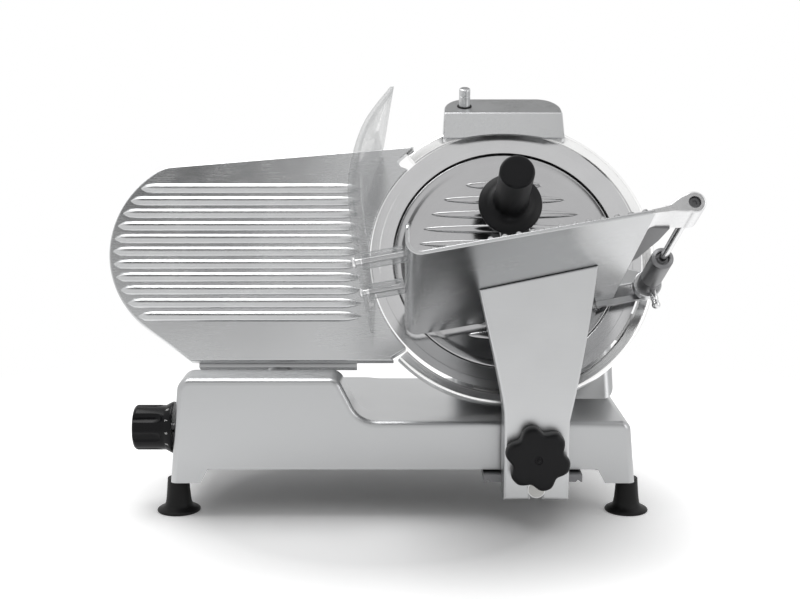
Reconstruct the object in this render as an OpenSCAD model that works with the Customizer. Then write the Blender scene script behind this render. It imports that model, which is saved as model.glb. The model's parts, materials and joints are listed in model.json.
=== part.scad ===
// Gravity-feed food slicer with a 300 mm blade.
// The working frame has X to the right along the carriage travel, Y away from the
// operator's side of the base, and Z up from the floor. The last module call shifts it so
// that the origin lies under the middle of the whole machine.

/* [Blade] */
// Diameter of the blade
blade_d = 300; // [296:1:302]
// Lean of the blade from upright, top away from the tray side
blade_tilt = 26; // [25:0.5:27]
// Height of the blade's centre over the floor
blade_z = 262; // [261:1:266]
// Blade centre to the right of the middle of the base
blade_x = 115; // [110:1:120]
// Blade centre behind the front face of the base
blade_y = 114; // [112:1:116]
// Thickness of the blade
blade_t = 4; // [3:0.5:4.5]
// Width of the ground cutting bevel
bevel_w = 9; // [6:1:12]
// Depth of the dish that takes the blade cover
dish_h = 7; // [6:0.5:8]
// Width of the flat ring between the dish and the edge
blade_ring_w = 24; // [22:1:26]

/* [Blade cover] */
// Gap between the cover's rim and the blade
cover_gap = 1; // [0.6:0.1:1.5]
// Thickness of the cover
cover_t = 3; // [2:0.5:3.5]
// Distance between the pressed ribs
cover_rib_pitch = 18.3; // [17:0.1:20]
// Height of the pressed ribs
cover_rib_h = 2; // [1:0.5:2.5]

/* [Ring guard] */
// Running gap between the blade's edge and the ring
ring_gap = 2.5; // [2:0.5:4]
// Radial width of the ring
ring_w = 14; // [12:1:16]
// Depth of the ring along the blade's axis
ring_h = 14; // [12:1:16]
// Angle where the open side of the ring starts, from the tray's right
ring_open_from = 131; // [126:1:134]
// Angle where the open side of the ring ends
ring_open_to = 224; // [222:1:228]

/* [Base] */
// Length of the base at its foot
base_l = 490; // [484:1:500]
// Depth of the base from front to back
base_d = 222; // [216:1:232]
// Height of the deck over the floor
deck_z = 103; // [101:1:104]
// Height of the raised block at the left
block_z = 149; // [146:1:152]
// Depth of the raised block
block_d = 48; // [46:1:52]
// Right end of the raised block's top, from the middle of the base
block_end = -72; // [-84:1:-68]
// Height of the open skirt over the floor
skirt_z = 52; // [50:1:54]
// Wall of the casting
wall = 5; // [4:0.5:6]
// Radius of the casting's edges
edge_r = 7; // [5:1:8]
// Slope of the casting's ends, in degrees
draft = 4.5; // [3:0.5:5]

/* [Feet] */
// Height of a rubber foot
foot_h = 37; // [35:1:40]
// Diameter of the foot's flange
foot_d = 46; // [42:1:50]
// Foot centre in from the end of the base
foot_in_x = 5; // [4:1:12]
// Foot centre in from the front and the back of the base
foot_in_y = 24; // [22:1:30]

/* [Gauge plate] */
// Gap between the plate's round edge and the blade
gauge_gap = 1.5; // [1:0.5:3]
// Reach of the plate to the left of the blade's centre
gauge_reach = 441; // [436:1:446]
// Height of the plate's lower edge under the blade's centre
gauge_low = 118.5; // [114:0.5:120]
// Thickness of the plate
gauge_t = 4; // [3:0.5:5]
// Distance between the plate's ribs
gauge_rib_pitch = 15; // [14:0.5:16]
// Number of ribs on the plate
gauge_ribs = 11; // [9:1:11]
// Depth of the stiffening rim behind the plate
gauge_rim = 12; // [8:1:14]
// Travel of the plate, which is the greatest slice thickness
slice_max = 10; // [7:1:10]

/* [Index knob] */
// Diameter of the fluted grip
dial_d = 48; // [44:1:50]
// Length of the fluted grip
dial_l = 34; // [30:1:38]
// Diameter of the numbered skirt
dial_skirt_d = 55; // [53:1:58]
// Number of flutes round the grip
dial_flutes = 20; // [12:1:24]
// Height of the knob's axis over the floor
dial_z = 89; // [87:1:91]
// Knob axis behind the front face of the base
dial_y = 34; // [33:1:36]

/* [Food tray] */
// Tray top under the blade's centre, along the blade
tray_low = 69; // [68:1:71]
// Roll of the tray about the blade's axis
tray_roll = 10.6; // [10:0.1:11]
// Gap between the tray and the blade plane
tray_gap = 8; // [7:1:10]
// Length of the tray along the blade's axis
tray_l = 269; // [262:1:276]
// Left side of the tray, from the blade's centre
tray_left = 113; // [111:0.5:115]
// Right side of the tray, from the blade's centre
tray_right = 116; // [114:1:118]
// Thickness of the tray
tray_t = 4; // [3:0.5:5]
// Height of the tray's left wall
tray_wall_h = 30; // [26:1:34]
// Distance between the ribs that the food slides on
tray_rib_pitch = 13; // [12:0.5:15]

/* [Carriage] */
// Width of the arm at its foot
arm_w = 67; // [62:1:70]
// Width of the arm under the tray
arm_top_w = 121; // [112:1:126]
// Depth of the arm from front to back
arm_d = 34; // [30:1:36]
// Wall of the arm
arm_wall = 5; // [4:0.5:6]
// Height of the arm's lower end over the floor
arm_low = 33; // [31:1:35]
// Arm centre to the right of the middle of the base
arm_x = 136; // [132:1:140]
// Gap between the base and the carriage
arm_gap = 2; // [1.5:0.5:3]
// Thickness of the upright that carries the arm
upright_t = 10; // [8:1:10]
// Diameter of the star knob
star_d = 67; // [60:1:68]
// Height of the star knob over the floor
star_z = 80; // [78:1:82]
// Diameter of the carriage guide rod
guide_d = 16; // [14:1:18]
// Length of the block that slides on the rod
slide_l = 103; // [96:1:106]
// Travel of the carriage to the left
travel_left = 250; // [200:5:255]
// Travel of the carriage to the right
travel_right = 14; // [5:1:18]

/* [Pusher] */
// Diameter of the pusher's rod
rod_d = 8; // [7:0.5:9]
// Diameter of the sleeve on the rod
sleeve_d = 23; // [22:1:25]
// Length of the sleeve
sleeve_l = 105; // [95:1:110]
// Rod centre to the right of the blade's centre
rod_a = 152; // [150:1:154]
// Width of the pusher plate
pusher_w = 108; // [90:1:112]
// Height of the pusher plate
pusher_h = 78; // [70:1:80]
// Diameter of the handle
handle_d = 37; // [34:1:40]
// Length of the handle
handle_l = 89; // [80:1:95]
// Diameter of the disc under the handle
disc_d = 70; // [64:1:74]

/* [Thumb guard] */
// Thickness of the clear sheet
sheet_t = 4; // [3:0.5:5]
// Diameter of the tubular spacers
spacer_d = 16; // [14:1:18]

/* [Sharpener] */
// Length of the sharpener's cover
sharp_l = 140; // [130:2:144]
// Wall of the cover
sharp_wall = 4; // [3:0.5:5]
// Diameter of the push pin
pin_d = 13; // [11:1:14]
// Diameter of the grinding wheel
stone_d = 30; // [26:1:32]

/* [Clearances] */
// Running gap of a shaft in its hole
run_fit = 0.05; // [0.02:0.01:0.08]
// Gap between pieces that move past each other
part_gap = 0.4; // [0.3:0.1:0.6]

/* [Hidden] */
$fn = 48;
far = 400;

blade_r = blade_d / 2;
dish_r = blade_r - blade_ring_w;
cover_r = dish_r - cover_gap;
ring_in = blade_r + ring_gap;
ring_out = ring_in + ring_w;
ring_front = -3;
ring_back = ring_front - ring_h;
base_end = base_l / 2;
slope = tan(draft);

// Drive train behind the blade, measured along the blade's axis
hub_front = -dish_h - blade_t - 5.1;
pulley_front = hub_front - 10;
pulley_w = 16;
hub_back = pulley_front - pulley_w - 8;
case_back = hub_back - 12;
case_wall = 4;
hub_r = 48;
web_angles = [48, 330, 262];
web_back = ring_back - 4;
web_screw_r = 104;
motor_pulley_r = 18;
motor_u = 50;
motor_v = -95;
case_r = 72;
case_low_r = 40;
shaft_d = 20;
bearing_d = 42;
bearing_w = 12;
tie_d = 10;
belt_t = 3;
housing_left = 58;
housing_right_in = 1;

// Carriage levels in the working frame
arm_back = -arm_gap - upright_t - part_gap;
arm_front = arm_back - arm_d;
rail_y = 30;
rail_z = 62;
rail_from = -186;
rail_to = 222;
bar_y = 66;
bar_size = 10;
tray_end = tray_gap + tray_l;
tray_v = -tray_low;

// Index cam: an even spiral that pushes the gauge slide back by slice_max in one sweep
cam_x = -202;
cam_t = 8;
cam_low_r = 7;
cam_sweep = 300;
roller_r = 5;
index_shaft_r = 5;
follow_y = dial_y + (cam_low_r + roller_r + part_gap) * cos(blade_tilt);
follow_z = dial_z - (cam_low_r + roller_r + part_gap) * sin(blade_tilt);
neck_x = -136;
neck_y = 82;
gauge_rod_y = 84;
gauge_rod_z = 89;
gauge_rod_front = 8;
gauge_rod_end = 66;
gauge_rod_d = 12;

// Sharpener: its top leans towards the operator
top_lean = 18;
sharp_front = 12;
sharp_low = 139;
sharp_step = 31;
sharp_top_l = 50;
sharp_back = -58;
// Direction across the cover's top, in the blade's frame, from front to back
top_dir = [cos(top_lean) * sin(blade_tilt) + sin(top_lean) * cos(blade_tilt),
    -cos(top_lean) * cos(blade_tilt) + sin(top_lean) * sin(blade_tilt)];
pin_u = -43.5;
pin_back = 22;
pin_out = 22;

// Handle of the pusher, in the tray's frame
handle_a = 24.5;
handle_b = 115;
strap_w = 24;
plate_w = 16;
plate_t = 4;
disc_back = 36;
disc_t = 8;
arm_ring_l = 12;

// Middle of the whole machine, which becomes the origin
boss_r = 10.5;
mid_x = blade_x + (ring_out - gauge_reach) / 2;
corner_r = 14;
tray_low_v = tray_v + (corner_r - tray_left) * sin(tray_roll) + (corner_r - tray_t) * cos(tray_roll) - corner_r;
front_y = blade_y + tray_low_v * sin(blade_tilt) - tray_end * cos(blade_tilt);
deburr_v = sharp_low + 30;
deburr_out = 14;
back_y = blade_y + (deburr_v + pin_d / 2 - 1.5) * sin(blade_tilt) + (deburr_out - sharp_back - 4) * cos(blade_tilt);
mid_y = (front_y + back_y) / 2;

function rod_x(a, b) = a * cos(tray_roll) - b * sin(tray_roll);
function arc(c, r, from, to, n) =
    [for (i = [0:n]) let (a = from + (to - from) * i / n) [c.x + r * cos(a), c.y + r * sin(a)]];
function edge_normal(a, b) = let (d = b - a) [d.y, -d.x] / norm(d);
// Moves each point of an anticlockwise outline inwards
function inset(p, d) = [for (i = [0:len(p) - 1])
    let (n = len(p), m = edge_normal(p[(i + n - 1) % n], p[i]) + edge_normal(p[i], p[(i + 1) % n]))
    p[i] - m * 2 * d / (m * m)];

// Solid through outlines of equal length, given as [height, outline]
module loft(layers) {
    n = len(layers[0][1]);
    points = [for (l = layers) for (p = l[1]) [p.x, p.y, l[0]]];
    last = (len(layers) - 1) * n;
    sides = [for (k = [0:len(layers) - 2]) for (i = [0:n - 1]) let (j = (i + 1) % n)
        each [[k * n + i, (k + 1) * n + i, (k + 1) * n + j], [k * n + i, (k + 1) * n + j, k * n + j]]];
    polyhedron(points, concat([[for (i = [0:n - 1]) i]], sides, [[for (i = [n - 1:-1:0]) last + i]]));
}

// Slab on an outline with rounded rims: r_low at the bottom and r_top at the top
module rounded_slab(outline, h, r_top, r_low = 0, steps = 3) {
    top = r_top > 0 ? [for (i = [0:steps]) let (a = 90 * i / steps)
        [h - r_top + r_top * sin(a), inset(outline, r_top * (1 - cos(a)))]] : [[h, outline]];
    loft(concat(low_layers(outline, r_low, steps), top));
}
function low_layers(outline, r, steps) = r > 0
    ? [for (i = [0:steps]) let (a = 90 * i / steps) [r - r * cos(a), inset(outline, r * (1 - sin(a)))]]
    : [[0, outline]];

module tube(r, bore, h) {
    difference() {
        cylinder(r = r, h = h);
        translate([0, 0, -1]) cylinder(r = bore, h = h + 2);
    }
}
// Blade's frame: X right, Y up along the blade, Z out of the blade towards the operator
module blade_frame() translate([blade_x, blade_y, blade_z]) rotate([90 - blade_tilt, 0, 0]) children();
// Tray's frame: as the blade's, rolled, with the tray's top at Y = 0
module tray_frame() blade_frame() translate([0, tray_v, 0]) rotate(tray_roll) children();
// Turns an outline drawn in X and Z into a slab that runs from y0 backwards
module upright(y0, depth) translate([0, y0 + depth, 0]) rotate([90, 0, 0]) children();

// Base

function base_left(z) = -base_end + (z - foot_h) * slope;
function base_right(z) = base_end - (z - foot_h) * slope;
fillet = 30;
block_r = 14;
corner = edge_r + 3;
pad_l = 32;
pad_d = 40;
// Outline of the front face with the raised block, run down past the pads
outline_low = foot_h - edge_r - 3;
function front_outline() = concat([[base_left(outline_low), outline_low], [base_right(outline_low), outline_low]],
    arc([base_right(deck_z) - corner, deck_z - corner], corner, draft, 90, 4),
    arc([block_end + 16 + fillet, deck_z + fillet], fillet, 270, 200, 6),
    arc([block_end - 4, block_z - block_r], block_r, 20, 90, 4),
    arc([base_left(block_z) + block_r, block_z - block_r], block_r, 90, 180 - draft, 4));
module base_shell() {
    difference() {
        upright(0, base_d) rounded_slab(front_outline(), base_d, edge_r, edge_r);
        // Under the pads and the skirt between them
        upright(-1, base_d + 2) linear_extrude(base_d + 2) polygon([[-far, 0], [far, 0], [far, foot_h],
            [base_end - pad_l, foot_h], [base_end - pad_l - 8, skirt_z], [-base_end + pad_l + 8, skirt_z],
            [-base_end + pad_l, foot_h], [-far, foot_h]]);
        // Behind the raised block, and between the front and rear pads
        translate([-far, block_d, deck_z + 0.05]) cube([far + block_end + 60, far, far]);
        translate([-far, pad_d, -1]) cube([2 * far, base_d - 2 * pad_d, skirt_z + 1.05]);
    }
}
module base_casting() {
    color([0.78, 0.79, 0.8]) difference() {
        base_shell();
        // Hollow under the deck, open below
        difference() {
            union() {
                upright(wall, base_d - 2 * wall) linear_extrude(base_d - 2 * wall)
                    polygon([[base_left(foot_h) + wall, foot_h - 1], [base_right(foot_h) - wall, foot_h - 1],
                        [base_right(deck_z) - wall, deck_z - wall - 4], [base_right(deck_z) - wall - 4, deck_z - wall],
                        [base_left(deck_z) + wall + 4, deck_z - wall], [base_left(deck_z) + wall, deck_z - wall - 4]]);
                upright(wall, block_d - 2 * wall) linear_extrude(block_d - 2 * wall)
                    polygon([[base_left(deck_z) + wall + 1, deck_z - 10], [block_end, deck_z - 10],
                        [block_end - 12, block_z - wall], [base_left(block_z) + wall + 8, block_z - wall],
                        [base_left(block_z) + wall + 1, block_z - wall - 8]]);
            }
            for (side = [-1, 1]) for (y = [foot_in_y, base_d - foot_in_y])
                translate([side * (base_end - foot_in_x), y, 0]) cylinder(r = 8, h = deck_z);
            rail_webs();
        }
        // Bores for the carriage rod, the index shaft and the foot screws
        translate([rail_from, rail_y, rail_z]) rotate([0, 90, 0])
            cylinder(r = guide_d / 2 + run_fit, h = rail_to - rail_from);
        translate([-base_end - 1, dial_y, dial_z]) rotate([0, 90, 0])
            cylinder(r = index_shaft_r + run_fit, h = base_end + cam_x + 25);
        translate([cam_x - cam_t / 2 - 2, dial_y, dial_z]) rotate([0, 90, 0])
            cylinder(r = cam_low_r + slice_max + 1, h = cam_t + 4);
        translate([neck_x, gauge_rod_y, gauge_rod_z]) rotate([90 - blade_tilt, 0, 0])
            translate([0, 0, -gauge_rod_end]) cylinder(r = gauge_rod_d / 2 + run_fit, h = 30);
        for (side = [-1, 1]) for (y = [foot_in_y, base_d - foot_in_y])
            translate([side * (base_end - foot_in_x), y, 0]) cylinder(r = 2.5, h = foot_h + 20);
        // Openings for the gauge neck, the motor, the switch and the cable
        translate([neck_x - 16, neck_y - 16, deck_z - wall - 1]) cube([32, 46, wall + 2]);
        translate([blade_x + motor_u - 46, 132, deck_z - wall - 1]) cube([92, base_d - 10 - 132, wall + 2]);
        translate([-base_end - 1, switch_y - 29, switch_z - 13]) cube([14, 58, 26]);
        translate([gland_x, base_d - wall - 1, gland_z]) rotate([-90, 0, 0]) cylinder(r = 8, h = wall + 2);
    }
}
// Webs inside the base that carry the carriage's rod and bar
module rail_webs() {
    for (x = [rail_from - 2, rail_to - 10]) translate([x, 0, 0]) difference() {
        union() {
            translate([0, 1, rail_z - 12]) cube([12, rail_y + 25, deck_z]);
            translate([0, 1, rail_z - 12]) cube([12, bar_y + 7, 13]);
        }
        translate([-1, bar_y - bar_size / 2 - 0.1, rail_z - bar_size - 0.1]) cube([14, bar_size + 0.2, bar_size + 0.2]);
    }
    // Web that holds the end of the gauge's guide rod
    translate([neck_x - 14, gauge_web_y, 56]) cube([28, 12, deck_z]);
}
gauge_web_y = gauge_rod_y + 50;
switch_y = 140;
switch_z = 76;
gland_x = -130;
gland_z = 76;

module bottom_plate() {
    color([0.6, 0.61, 0.62]) difference() {
        translate([base_left(skirt_z) + wall + 1, bar_y + 40, skirt_z])
            cube([base_l - 2 * wall - 2 - 2 * (skirt_z - foot_h) * slope,
                base_d - bar_y - 40 - wall - 1, 2]);
        for (i = [0:9]) translate([-110 + i * 24, 150, skirt_z - 1]) cube([6, 60, 4]);
        for (side = [-1, 1]) translate([side * (base_end - foot_in_x), base_d - foot_in_y, skirt_z - 1])
            cylinder(r = 8 + part_gap, h = 4);
    }
}

module each_foot() for (side = [-1, 1]) for (y = [foot_in_y, base_d - foot_in_y])
    translate([side * (base_end - foot_in_x), y, 0]) children();

module feet() {
    color([0.06, 0.06, 0.06]) each_foot() difference() {
        rotate_extrude() polygon(concat([[0, 3], [foot_d / 2 - 7, 3], [foot_d / 2 - 6, 0], [foot_d / 2 - 1.5, 0], [foot_d / 2, 1.5],
            [foot_d / 2 - 1, 4]], [[foot_d / 2 - 8, 6.5], [13.5, 9], [12.5, 13], [11.3, foot_h], [0, foot_h]]));
        translate([0, 0, -1]) cylinder(r = 2.6, h = foot_h + 2);
        translate([0, 0, -1]) cylinder(r = 5.5, h = 13);
    }
}
module foot_screws() {
    color([0.6, 0.6, 0.6]) each_foot() {
        translate([0, 0, 8.5]) cylinder(r = 5, h = 3.5);
        translate([0, 0, 12]) cylinder(r = 2.45, h = foot_h + 6);
    }
}

module guide_rod() {
    color([0.85, 0.86, 0.87]) translate([rail_from, rail_y, rail_z]) rotate([0, 90, 0])
        cylinder(d = guide_d, h = rail_to - rail_from);
}
module support_bar() {
    color([0.8, 0.81, 0.82]) translate([rail_from - 2, bar_y - bar_size / 2, rail_z - bar_size])
        cube([rail_to - rail_from + 4, bar_size, bar_size]);
}

// Drive train

function housing_y(z) = blade_y + (case_back - part_gap - (z - blade_z) * sin(blade_tilt)) / -cos(blade_tilt);
housing_back = base_d + 12;
function housing_outline() = [[housing_y(deck_z), deck_z + 0.2], [base_d - 8, deck_z + 0.2], [housing_back, deck_z + 18],
    [housing_back, deck_z + 44], [housing_back - 12, deck_z + 66], [housing_back - 36, deck_z + 84],
    [housing_back - 72, deck_z + 96], [housing_y(deck_z + 94) + 10, deck_z + 99], [housing_y(deck_z + 88), deck_z + 88]];
housing_wall = 6;
// The hollow is open below, and its front wall keeps the slope of the blade
function housing_hollow() = [for (p = inset(housing_outline(), housing_wall)) p.y > deck_z + 12 ? p
    : [p.x - (p.x < base_d / 2 + 40 ? (p.y - deck_z + 1) * tan(blade_tilt) : 0), deck_z - 1]];
module motor_housing() {
    length = base_right(deck_z) - housing_right_in - housing_left;
    color([0.76, 0.77, 0.78]) difference() {
        translate([housing_left, 0, 0]) rotate([90, 0, 90])
            rounded_slab(housing_outline(), length, 14, 14, 3);
        translate([housing_left + housing_wall, 0, 0]) rotate([90, 0, 90])
            linear_extrude(length - 2 * housing_wall) polygon(housing_hollow());
        blade_frame() translate([motor_u, motor_v, -far]) cylinder(r = 16, h = far);
        translate([0, 0, deck_z - 20]) cube([far, far, 20]);
    }
}

// Outline of the belt's casing: a circle round the hub and one round the motor pulley
module belt_outline(r1, r2) hull() {
    circle(r = r1, $fn = 64);
    translate([motor_u, motor_v]) circle(r = r2, $fn = 48);
}
module belt_housing() {
    color([0.74, 0.75, 0.76]) blade_frame() difference() {
        union() {
            translate([0, 0, case_back]) linear_extrude(hub_front - case_back) belt_outline(case_r, case_low_r);
            for (a = web_angles) rotate(a) translate([case_r - 8, -14, web_back - 10])
                cube([46, 28, 9.8]);
        }
        for (a = web_angles) rotate(a) translate([web_screw_r, 0, web_back - 11]) cylinder(r = 2.6, h = 12);
        translate([0, 0, case_back + case_wall]) linear_extrude(far)
            belt_outline(case_r - case_wall, case_low_r - case_wall);
        translate([motor_u, motor_v, case_back - 1]) cylinder(r = 9, h = case_wall + 2);
        translate([0, 0, case_back - 1]) cylinder(r = shaft_d / 2 + run_fit, h = case_wall + 2);
    }
}
motor_d = 72;
motor_l = 80;
motor_gap = 10;
module motor() {
    color([0.5, 0.51, 0.52]) blade_frame() translate([motor_u, motor_v, case_back - motor_gap]) {
        translate([0, 0, -motor_l]) difference() {
            cylinder(d = motor_d, h = motor_l);
            for (i = [0:11]) rotate(i * 30) translate([motor_d / 2, 0, 18])
                rotate([0, 0, 45]) cube([5, 5, motor_l - 36]);
            translate([0, 0, motor_l - 30]) cylinder(r = 7 + run_fit, h = 31);
        }
        // Three feet reach the front wall of the housing
        for (i = [0:2]) rotate(i * 120 + 30) translate([30, 0, -1])
            cylinder(r = 4, h = motor_gap - housing_wall - 2 * part_gap + 1);
    }
}
module motor_pulley() {
    color([0.7, 0.7, 0.7]) blade_frame() translate([motor_u, motor_v, 0]) {
        translate([0, 0, case_back - motor_gap - 28]) cylinder(r = 7, h = pulley_front - case_back + motor_gap + 28);
        translate([0, 0, pulley_front - pulley_w]) rotate_extrude() polygon([[6, 0], [motor_pulley_r + 3, 0],
            [motor_pulley_r + 3, 1.5], [motor_pulley_r, 2.5], [motor_pulley_r, pulley_w - 2.5],
            [motor_pulley_r + 3, pulley_w - 1.5], [motor_pulley_r + 3, pulley_w], [6, pulley_w]]);
    }
}
module drive_belt() {
    gap = part_gap;
    color([0.1, 0.1, 0.1]) blade_frame() translate([0, 0, pulley_front - pulley_w + 3])
        linear_extrude(pulley_w - 6) difference() {
            belt_outline(hub_r + gap + belt_t, motor_pulley_r + gap + belt_t);
            belt_outline(hub_r + gap, motor_pulley_r + gap);
        }
}
module blade_shaft() {
    color([0.75, 0.76, 0.77]) blade_frame() {
        translate([0, 0, case_back - 10]) tube(shaft_d / 2, tie_d / 2 + run_fit, hub_front - case_back + 14);
        translate([0, 0, case_back - 10]) tube(18, shaft_d / 2 - 1, 10);
    }
}
module blade_hub() {
    color([0.72, 0.73, 0.74]) blade_frame() difference() {
        rotate_extrude() polygon([[bearing_d / 2, hub_back],
        [hub_r - 2, hub_back], [hub_r - 2, pulley_front - pulley_w - 1], [hub_r + 3, pulley_front - pulley_w],
        [hub_r + 3, pulley_front - pulley_w + 1.5], [hub_r, pulley_front - pulley_w + 2.5],
        [hub_r, pulley_front - 2.5], [hub_r + 3, pulley_front - 1.5], [hub_r + 3, pulley_front],
        [hub_r + 3, hub_front + 1], [hub_r + 2, hub_front + 2.5], [13, hub_front + 2.5],
        [13, hub_front], [bearing_d / 2, hub_front]]);
        for (i = [0:2]) rotate(i * 120) translate([34, 0, -dish_h - 16]) cylinder(r = 3.1, h = 16);
    }
}
module blade_bearings() {
    color([0.85, 0.85, 0.86]) blade_frame() for (w = [hub_front - bearing_w - 1, hub_back + 1])
        translate([0, 0, w]) tube(bearing_d / 2, shaft_d / 2 + run_fit, bearing_w);
}
module blade() {
    back = -dish_h - blade_t;
    color([0.72, 0.73, 0.74]) blade_frame() difference() {
        rotate_extrude($fn = 96) polygon([[13, -dish_h - 2.5], [dish_r - 0.6, -dish_h - 2.5], [dish_r, -2.2],
            [blade_r, 0], [blade_r - bevel_w, -blade_t - 1], [dish_r + 5, -blade_t - 2.5],
            [dish_r + 4, back - 2.5], [13, back - 2.5]]);
        for (i = [0:2]) rotate(i * 120) translate([34, 0, -far / 2]) cylinder(r = 3.2, h = far);
    }
}
module blade_screws() {
    color([0.55, 0.55, 0.56]) blade_frame() for (i = [0:2]) rotate(i * 120) translate([34, 0, -dish_h - 2.5]) {
        cylinder(r = 5.5, h = 1.4);
        translate([0, 0, -blade_t - 8]) cylinder(r = 3, h = blade_t + 8);
    }
}

// Spindle-shaped rib that shows as a lens where it breaks the surface
module lens_rib(half, r) rotate([0, 90, 0]) rotate_extrude($fn = 24)
    polygon(concat([for (i = [-5:5]) let (x = half * i / 5) [r * (1 - pow(x / half, 2)) + 0.01, x]],
        [[0, half], [0, -half]]));
cover_face = -3.4;
cover_rib_edge = 100;
module blade_cover() {
    sunk = 7;
    color([0.7, 0.71, 0.72]) blade_frame() difference() {
        union() {
            rotate_extrude($fn = 96) polygon([[0, cover_face - 1.2], [cover_r - 12, cover_face - 1.2],
                [cover_r - 8, cover_face], [cover_r - 2, cover_face], [cover_r, cover_face - 1.5],
                [cover_r, cover_face - cover_t], [cover_r - 10, cover_face - cover_t - 1],
                [14, cover_face - cover_t - 1], [14, -dish_h - 1.5], [0, -dish_h - 1.5]]);
            for (k = [-5:5]) let (v = k * cover_rib_pitch, half = sqrt(pow(cover_rib_edge, 2) - v * v))
                translate([0, v, cover_face - 1.2 - sunk]) intersection() {
                    lens_rib(half * 1.25, sunk + cover_rib_h);
                    translate([-far / 2, -20, sunk - 1]) cube([far, 40, 20]);
                }
        }
        translate([0, 0, -20]) cylinder(r = tie_d / 2 + run_fit, h = 14.4);
    }
}
module cover_tie_rod() {
    color([0.75, 0.76, 0.77]) blade_frame() translate([0, 0, case_back - 40])
        cylinder(d = tie_d, h = -case_back + 40 - 6);
}
// Hand knob with round lobes
knob_wave = 0.115;
module lobed_knob(d, h, lobes) {
    steps = 12 * lobes;
    linear_extrude(h) polygon([for (i = [0:steps - 1]) let (a = 360 * i / steps, dip = (1 - cos(lobes * a)) / 2)
        d / 2 * (1 - 2 * knob_wave * pow(dip, 1.6)) * [cos(a), sin(a)]]);
}
module cover_knob() {
    color([0.08, 0.08, 0.08]) blade_frame() translate([0, 0, case_back - 10 - part_gap]) rotate([180, 0, 0])
        difference() {
            union() {
                cylinder(r = 11, h = 9);
                translate([0, 0, 8]) lobed_knob(44, 18, 6);
            }
            translate([0, 0, -1]) cylinder(d = tie_d, h = 31);
        }
}

// Ring guard, deflector

module ring_sector(from, to) {
    linear_extrude(far, center = true)
        polygon(concat([[0, 0]], arc([0, 0], far, from, to, 8)));
}
module ring_guard() {
    color([0.78, 0.79, 0.8]) blade_frame() difference() {
        union() {
            rotate_extrude($fn = 96) polygon([[ring_in, ring_back], [ring_out - 5, ring_back],
                [ring_out, ring_back + 5], [ring_out, ring_front - 5], [ring_out - 1.5, ring_front - 1],
                [ring_out - 4, ring_front], [ring_out - 5, ring_front - 1.6], [ring_in + 2, ring_front - 2.4],
                [ring_in, ring_front - 4]]);
            // Web that joins the ring to the belt casing
            for (a = web_angles) rotate(a) translate([case_r + part_gap - 6, -17, web_back])
                cube([ring_in - case_r + 10, 34, 6]);
        }
        ring_sector(ring_open_from, ring_open_to);
        translate([0, 0, -far / 2]) linear_extrude(far / 2) belt_outline(case_r + 0.1, case_low_r + 0.1);
        for (a = web_angles) rotate(a) translate([web_screw_r, 0, web_back - 1]) cylinder(r = 2.6, h = 5.5);
    }
}
module ring_screws() {
    color([0.6, 0.6, 0.6]) blade_frame() for (a = web_angles) rotate(a)
        translate([web_screw_r, 0, web_back - 13.2]) {
            cylinder(r = 4.5, h = 3);
            cylinder(r = 2.5, h = 16);
        }
}
module slice_deflector() {
    color([0.72, 0.73, 0.74]) blade_frame() translate([0, 0, hub_front - 6]) linear_extrude(1.5) difference() {
        intersection() {
            circle(r = blade_r - 16, $fn = 96);
            polygon([[-40, 100], [-far, 60], [-far, -130], [-110, -far]]);
        }
        circle(r = case_r + 0.3);
        belt_outline(case_r + 0.3, case_low_r + 0.3);
    }
}

// Sharpener

function sharp_profile(grow) = [[sharp_low - grow, sharp_front + grow], [sharp_low + sharp_step + grow * 0.5, sharp_front + grow],
    [sharp_low + sharp_step + top_dir.x * sharp_top_l + grow, sharp_front + top_dir.y * sharp_top_l + grow * 0.3],
    [sharp_low + sharp_step + top_dir.x * sharp_top_l - 6 + grow * 0.5, sharp_front + top_dir.y * sharp_top_l - 12 - grow],
    [sharp_low + 26, sharp_back - grow], [sharp_low - grow, sharp_back - grow]];
module sharp_body(grow, corner) {
    half = sharp_l / 2 + grow;
    top = sharp_low + sharp_step + top_dir.x * sharp_top_l + grow;
    intersection() {
        translate([-half, 0, 0]) rotate([0, 90, 0]) rotate([0, 0, 90]) linear_extrude(2 * half)
            polygon([for (p = sharp_profile(grow)) [p.x, p.y]]);
        translate([0, 0, -far / 2]) linear_extrude(far) polygon(concat(
            [[-half, sharp_low - grow - 12]], [[half, sharp_low - grow - 12]],
            arc([half - 3 - corner, top - corner - 2], corner, 0, 90, 6),
            arc([-half + 3 + corner, top - corner - 2], corner, 90, 180, 6)));
    }
}
module sharpener_cover() {
    color([0.78, 0.79, 0.8]) blade_frame() difference() {
        sharp_body(0, 26);
        difference() {
            sharp_body(-sharp_wall, 23);
        }
        translate([-sharp_l / 2 + sharp_wall, sharp_low - 20, sharp_back + sharp_wall])
            cube([sharp_l - 2 * sharp_wall, 26, sharp_front - sharp_back - 2 * sharp_wall]);
        // Round foot that follows the ring
        translate([0, 0, -far / 2]) cylinder(r = ring_out + part_gap, h = far / 2 + ring_front + 2, $fn = 96);
        translate([0, -80, 0]) cylinder(r = 224, h = 30, $fn = 96);
        pin_place() translate([0, 0, -20]) cylinder(d = pin_d + 4.5, h = 60);
        deburr_place() translate([0, 0, -20]) cylinder(d = pin_d + 0.6, h = 60);
        translate([0, sharp_low + 16, sharp_back - 1]) cylinder(r = 4.2, h = sharp_wall + 2);
    }
}
// Push pin in the cover's top, square to that face
module pin_place() {
    translate([pin_u, sharp_low + sharp_step + top_dir.x * pin_back, sharp_front + top_dir.y * pin_back])
        rotate([-atan2(top_dir.x, -top_dir.y), 0, 0]) children();
}
// Push button in the cover's back
module deburr_place() translate([40, deburr_v, sharp_back + 4]) rotate([180, 0, 0]) children();

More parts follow.
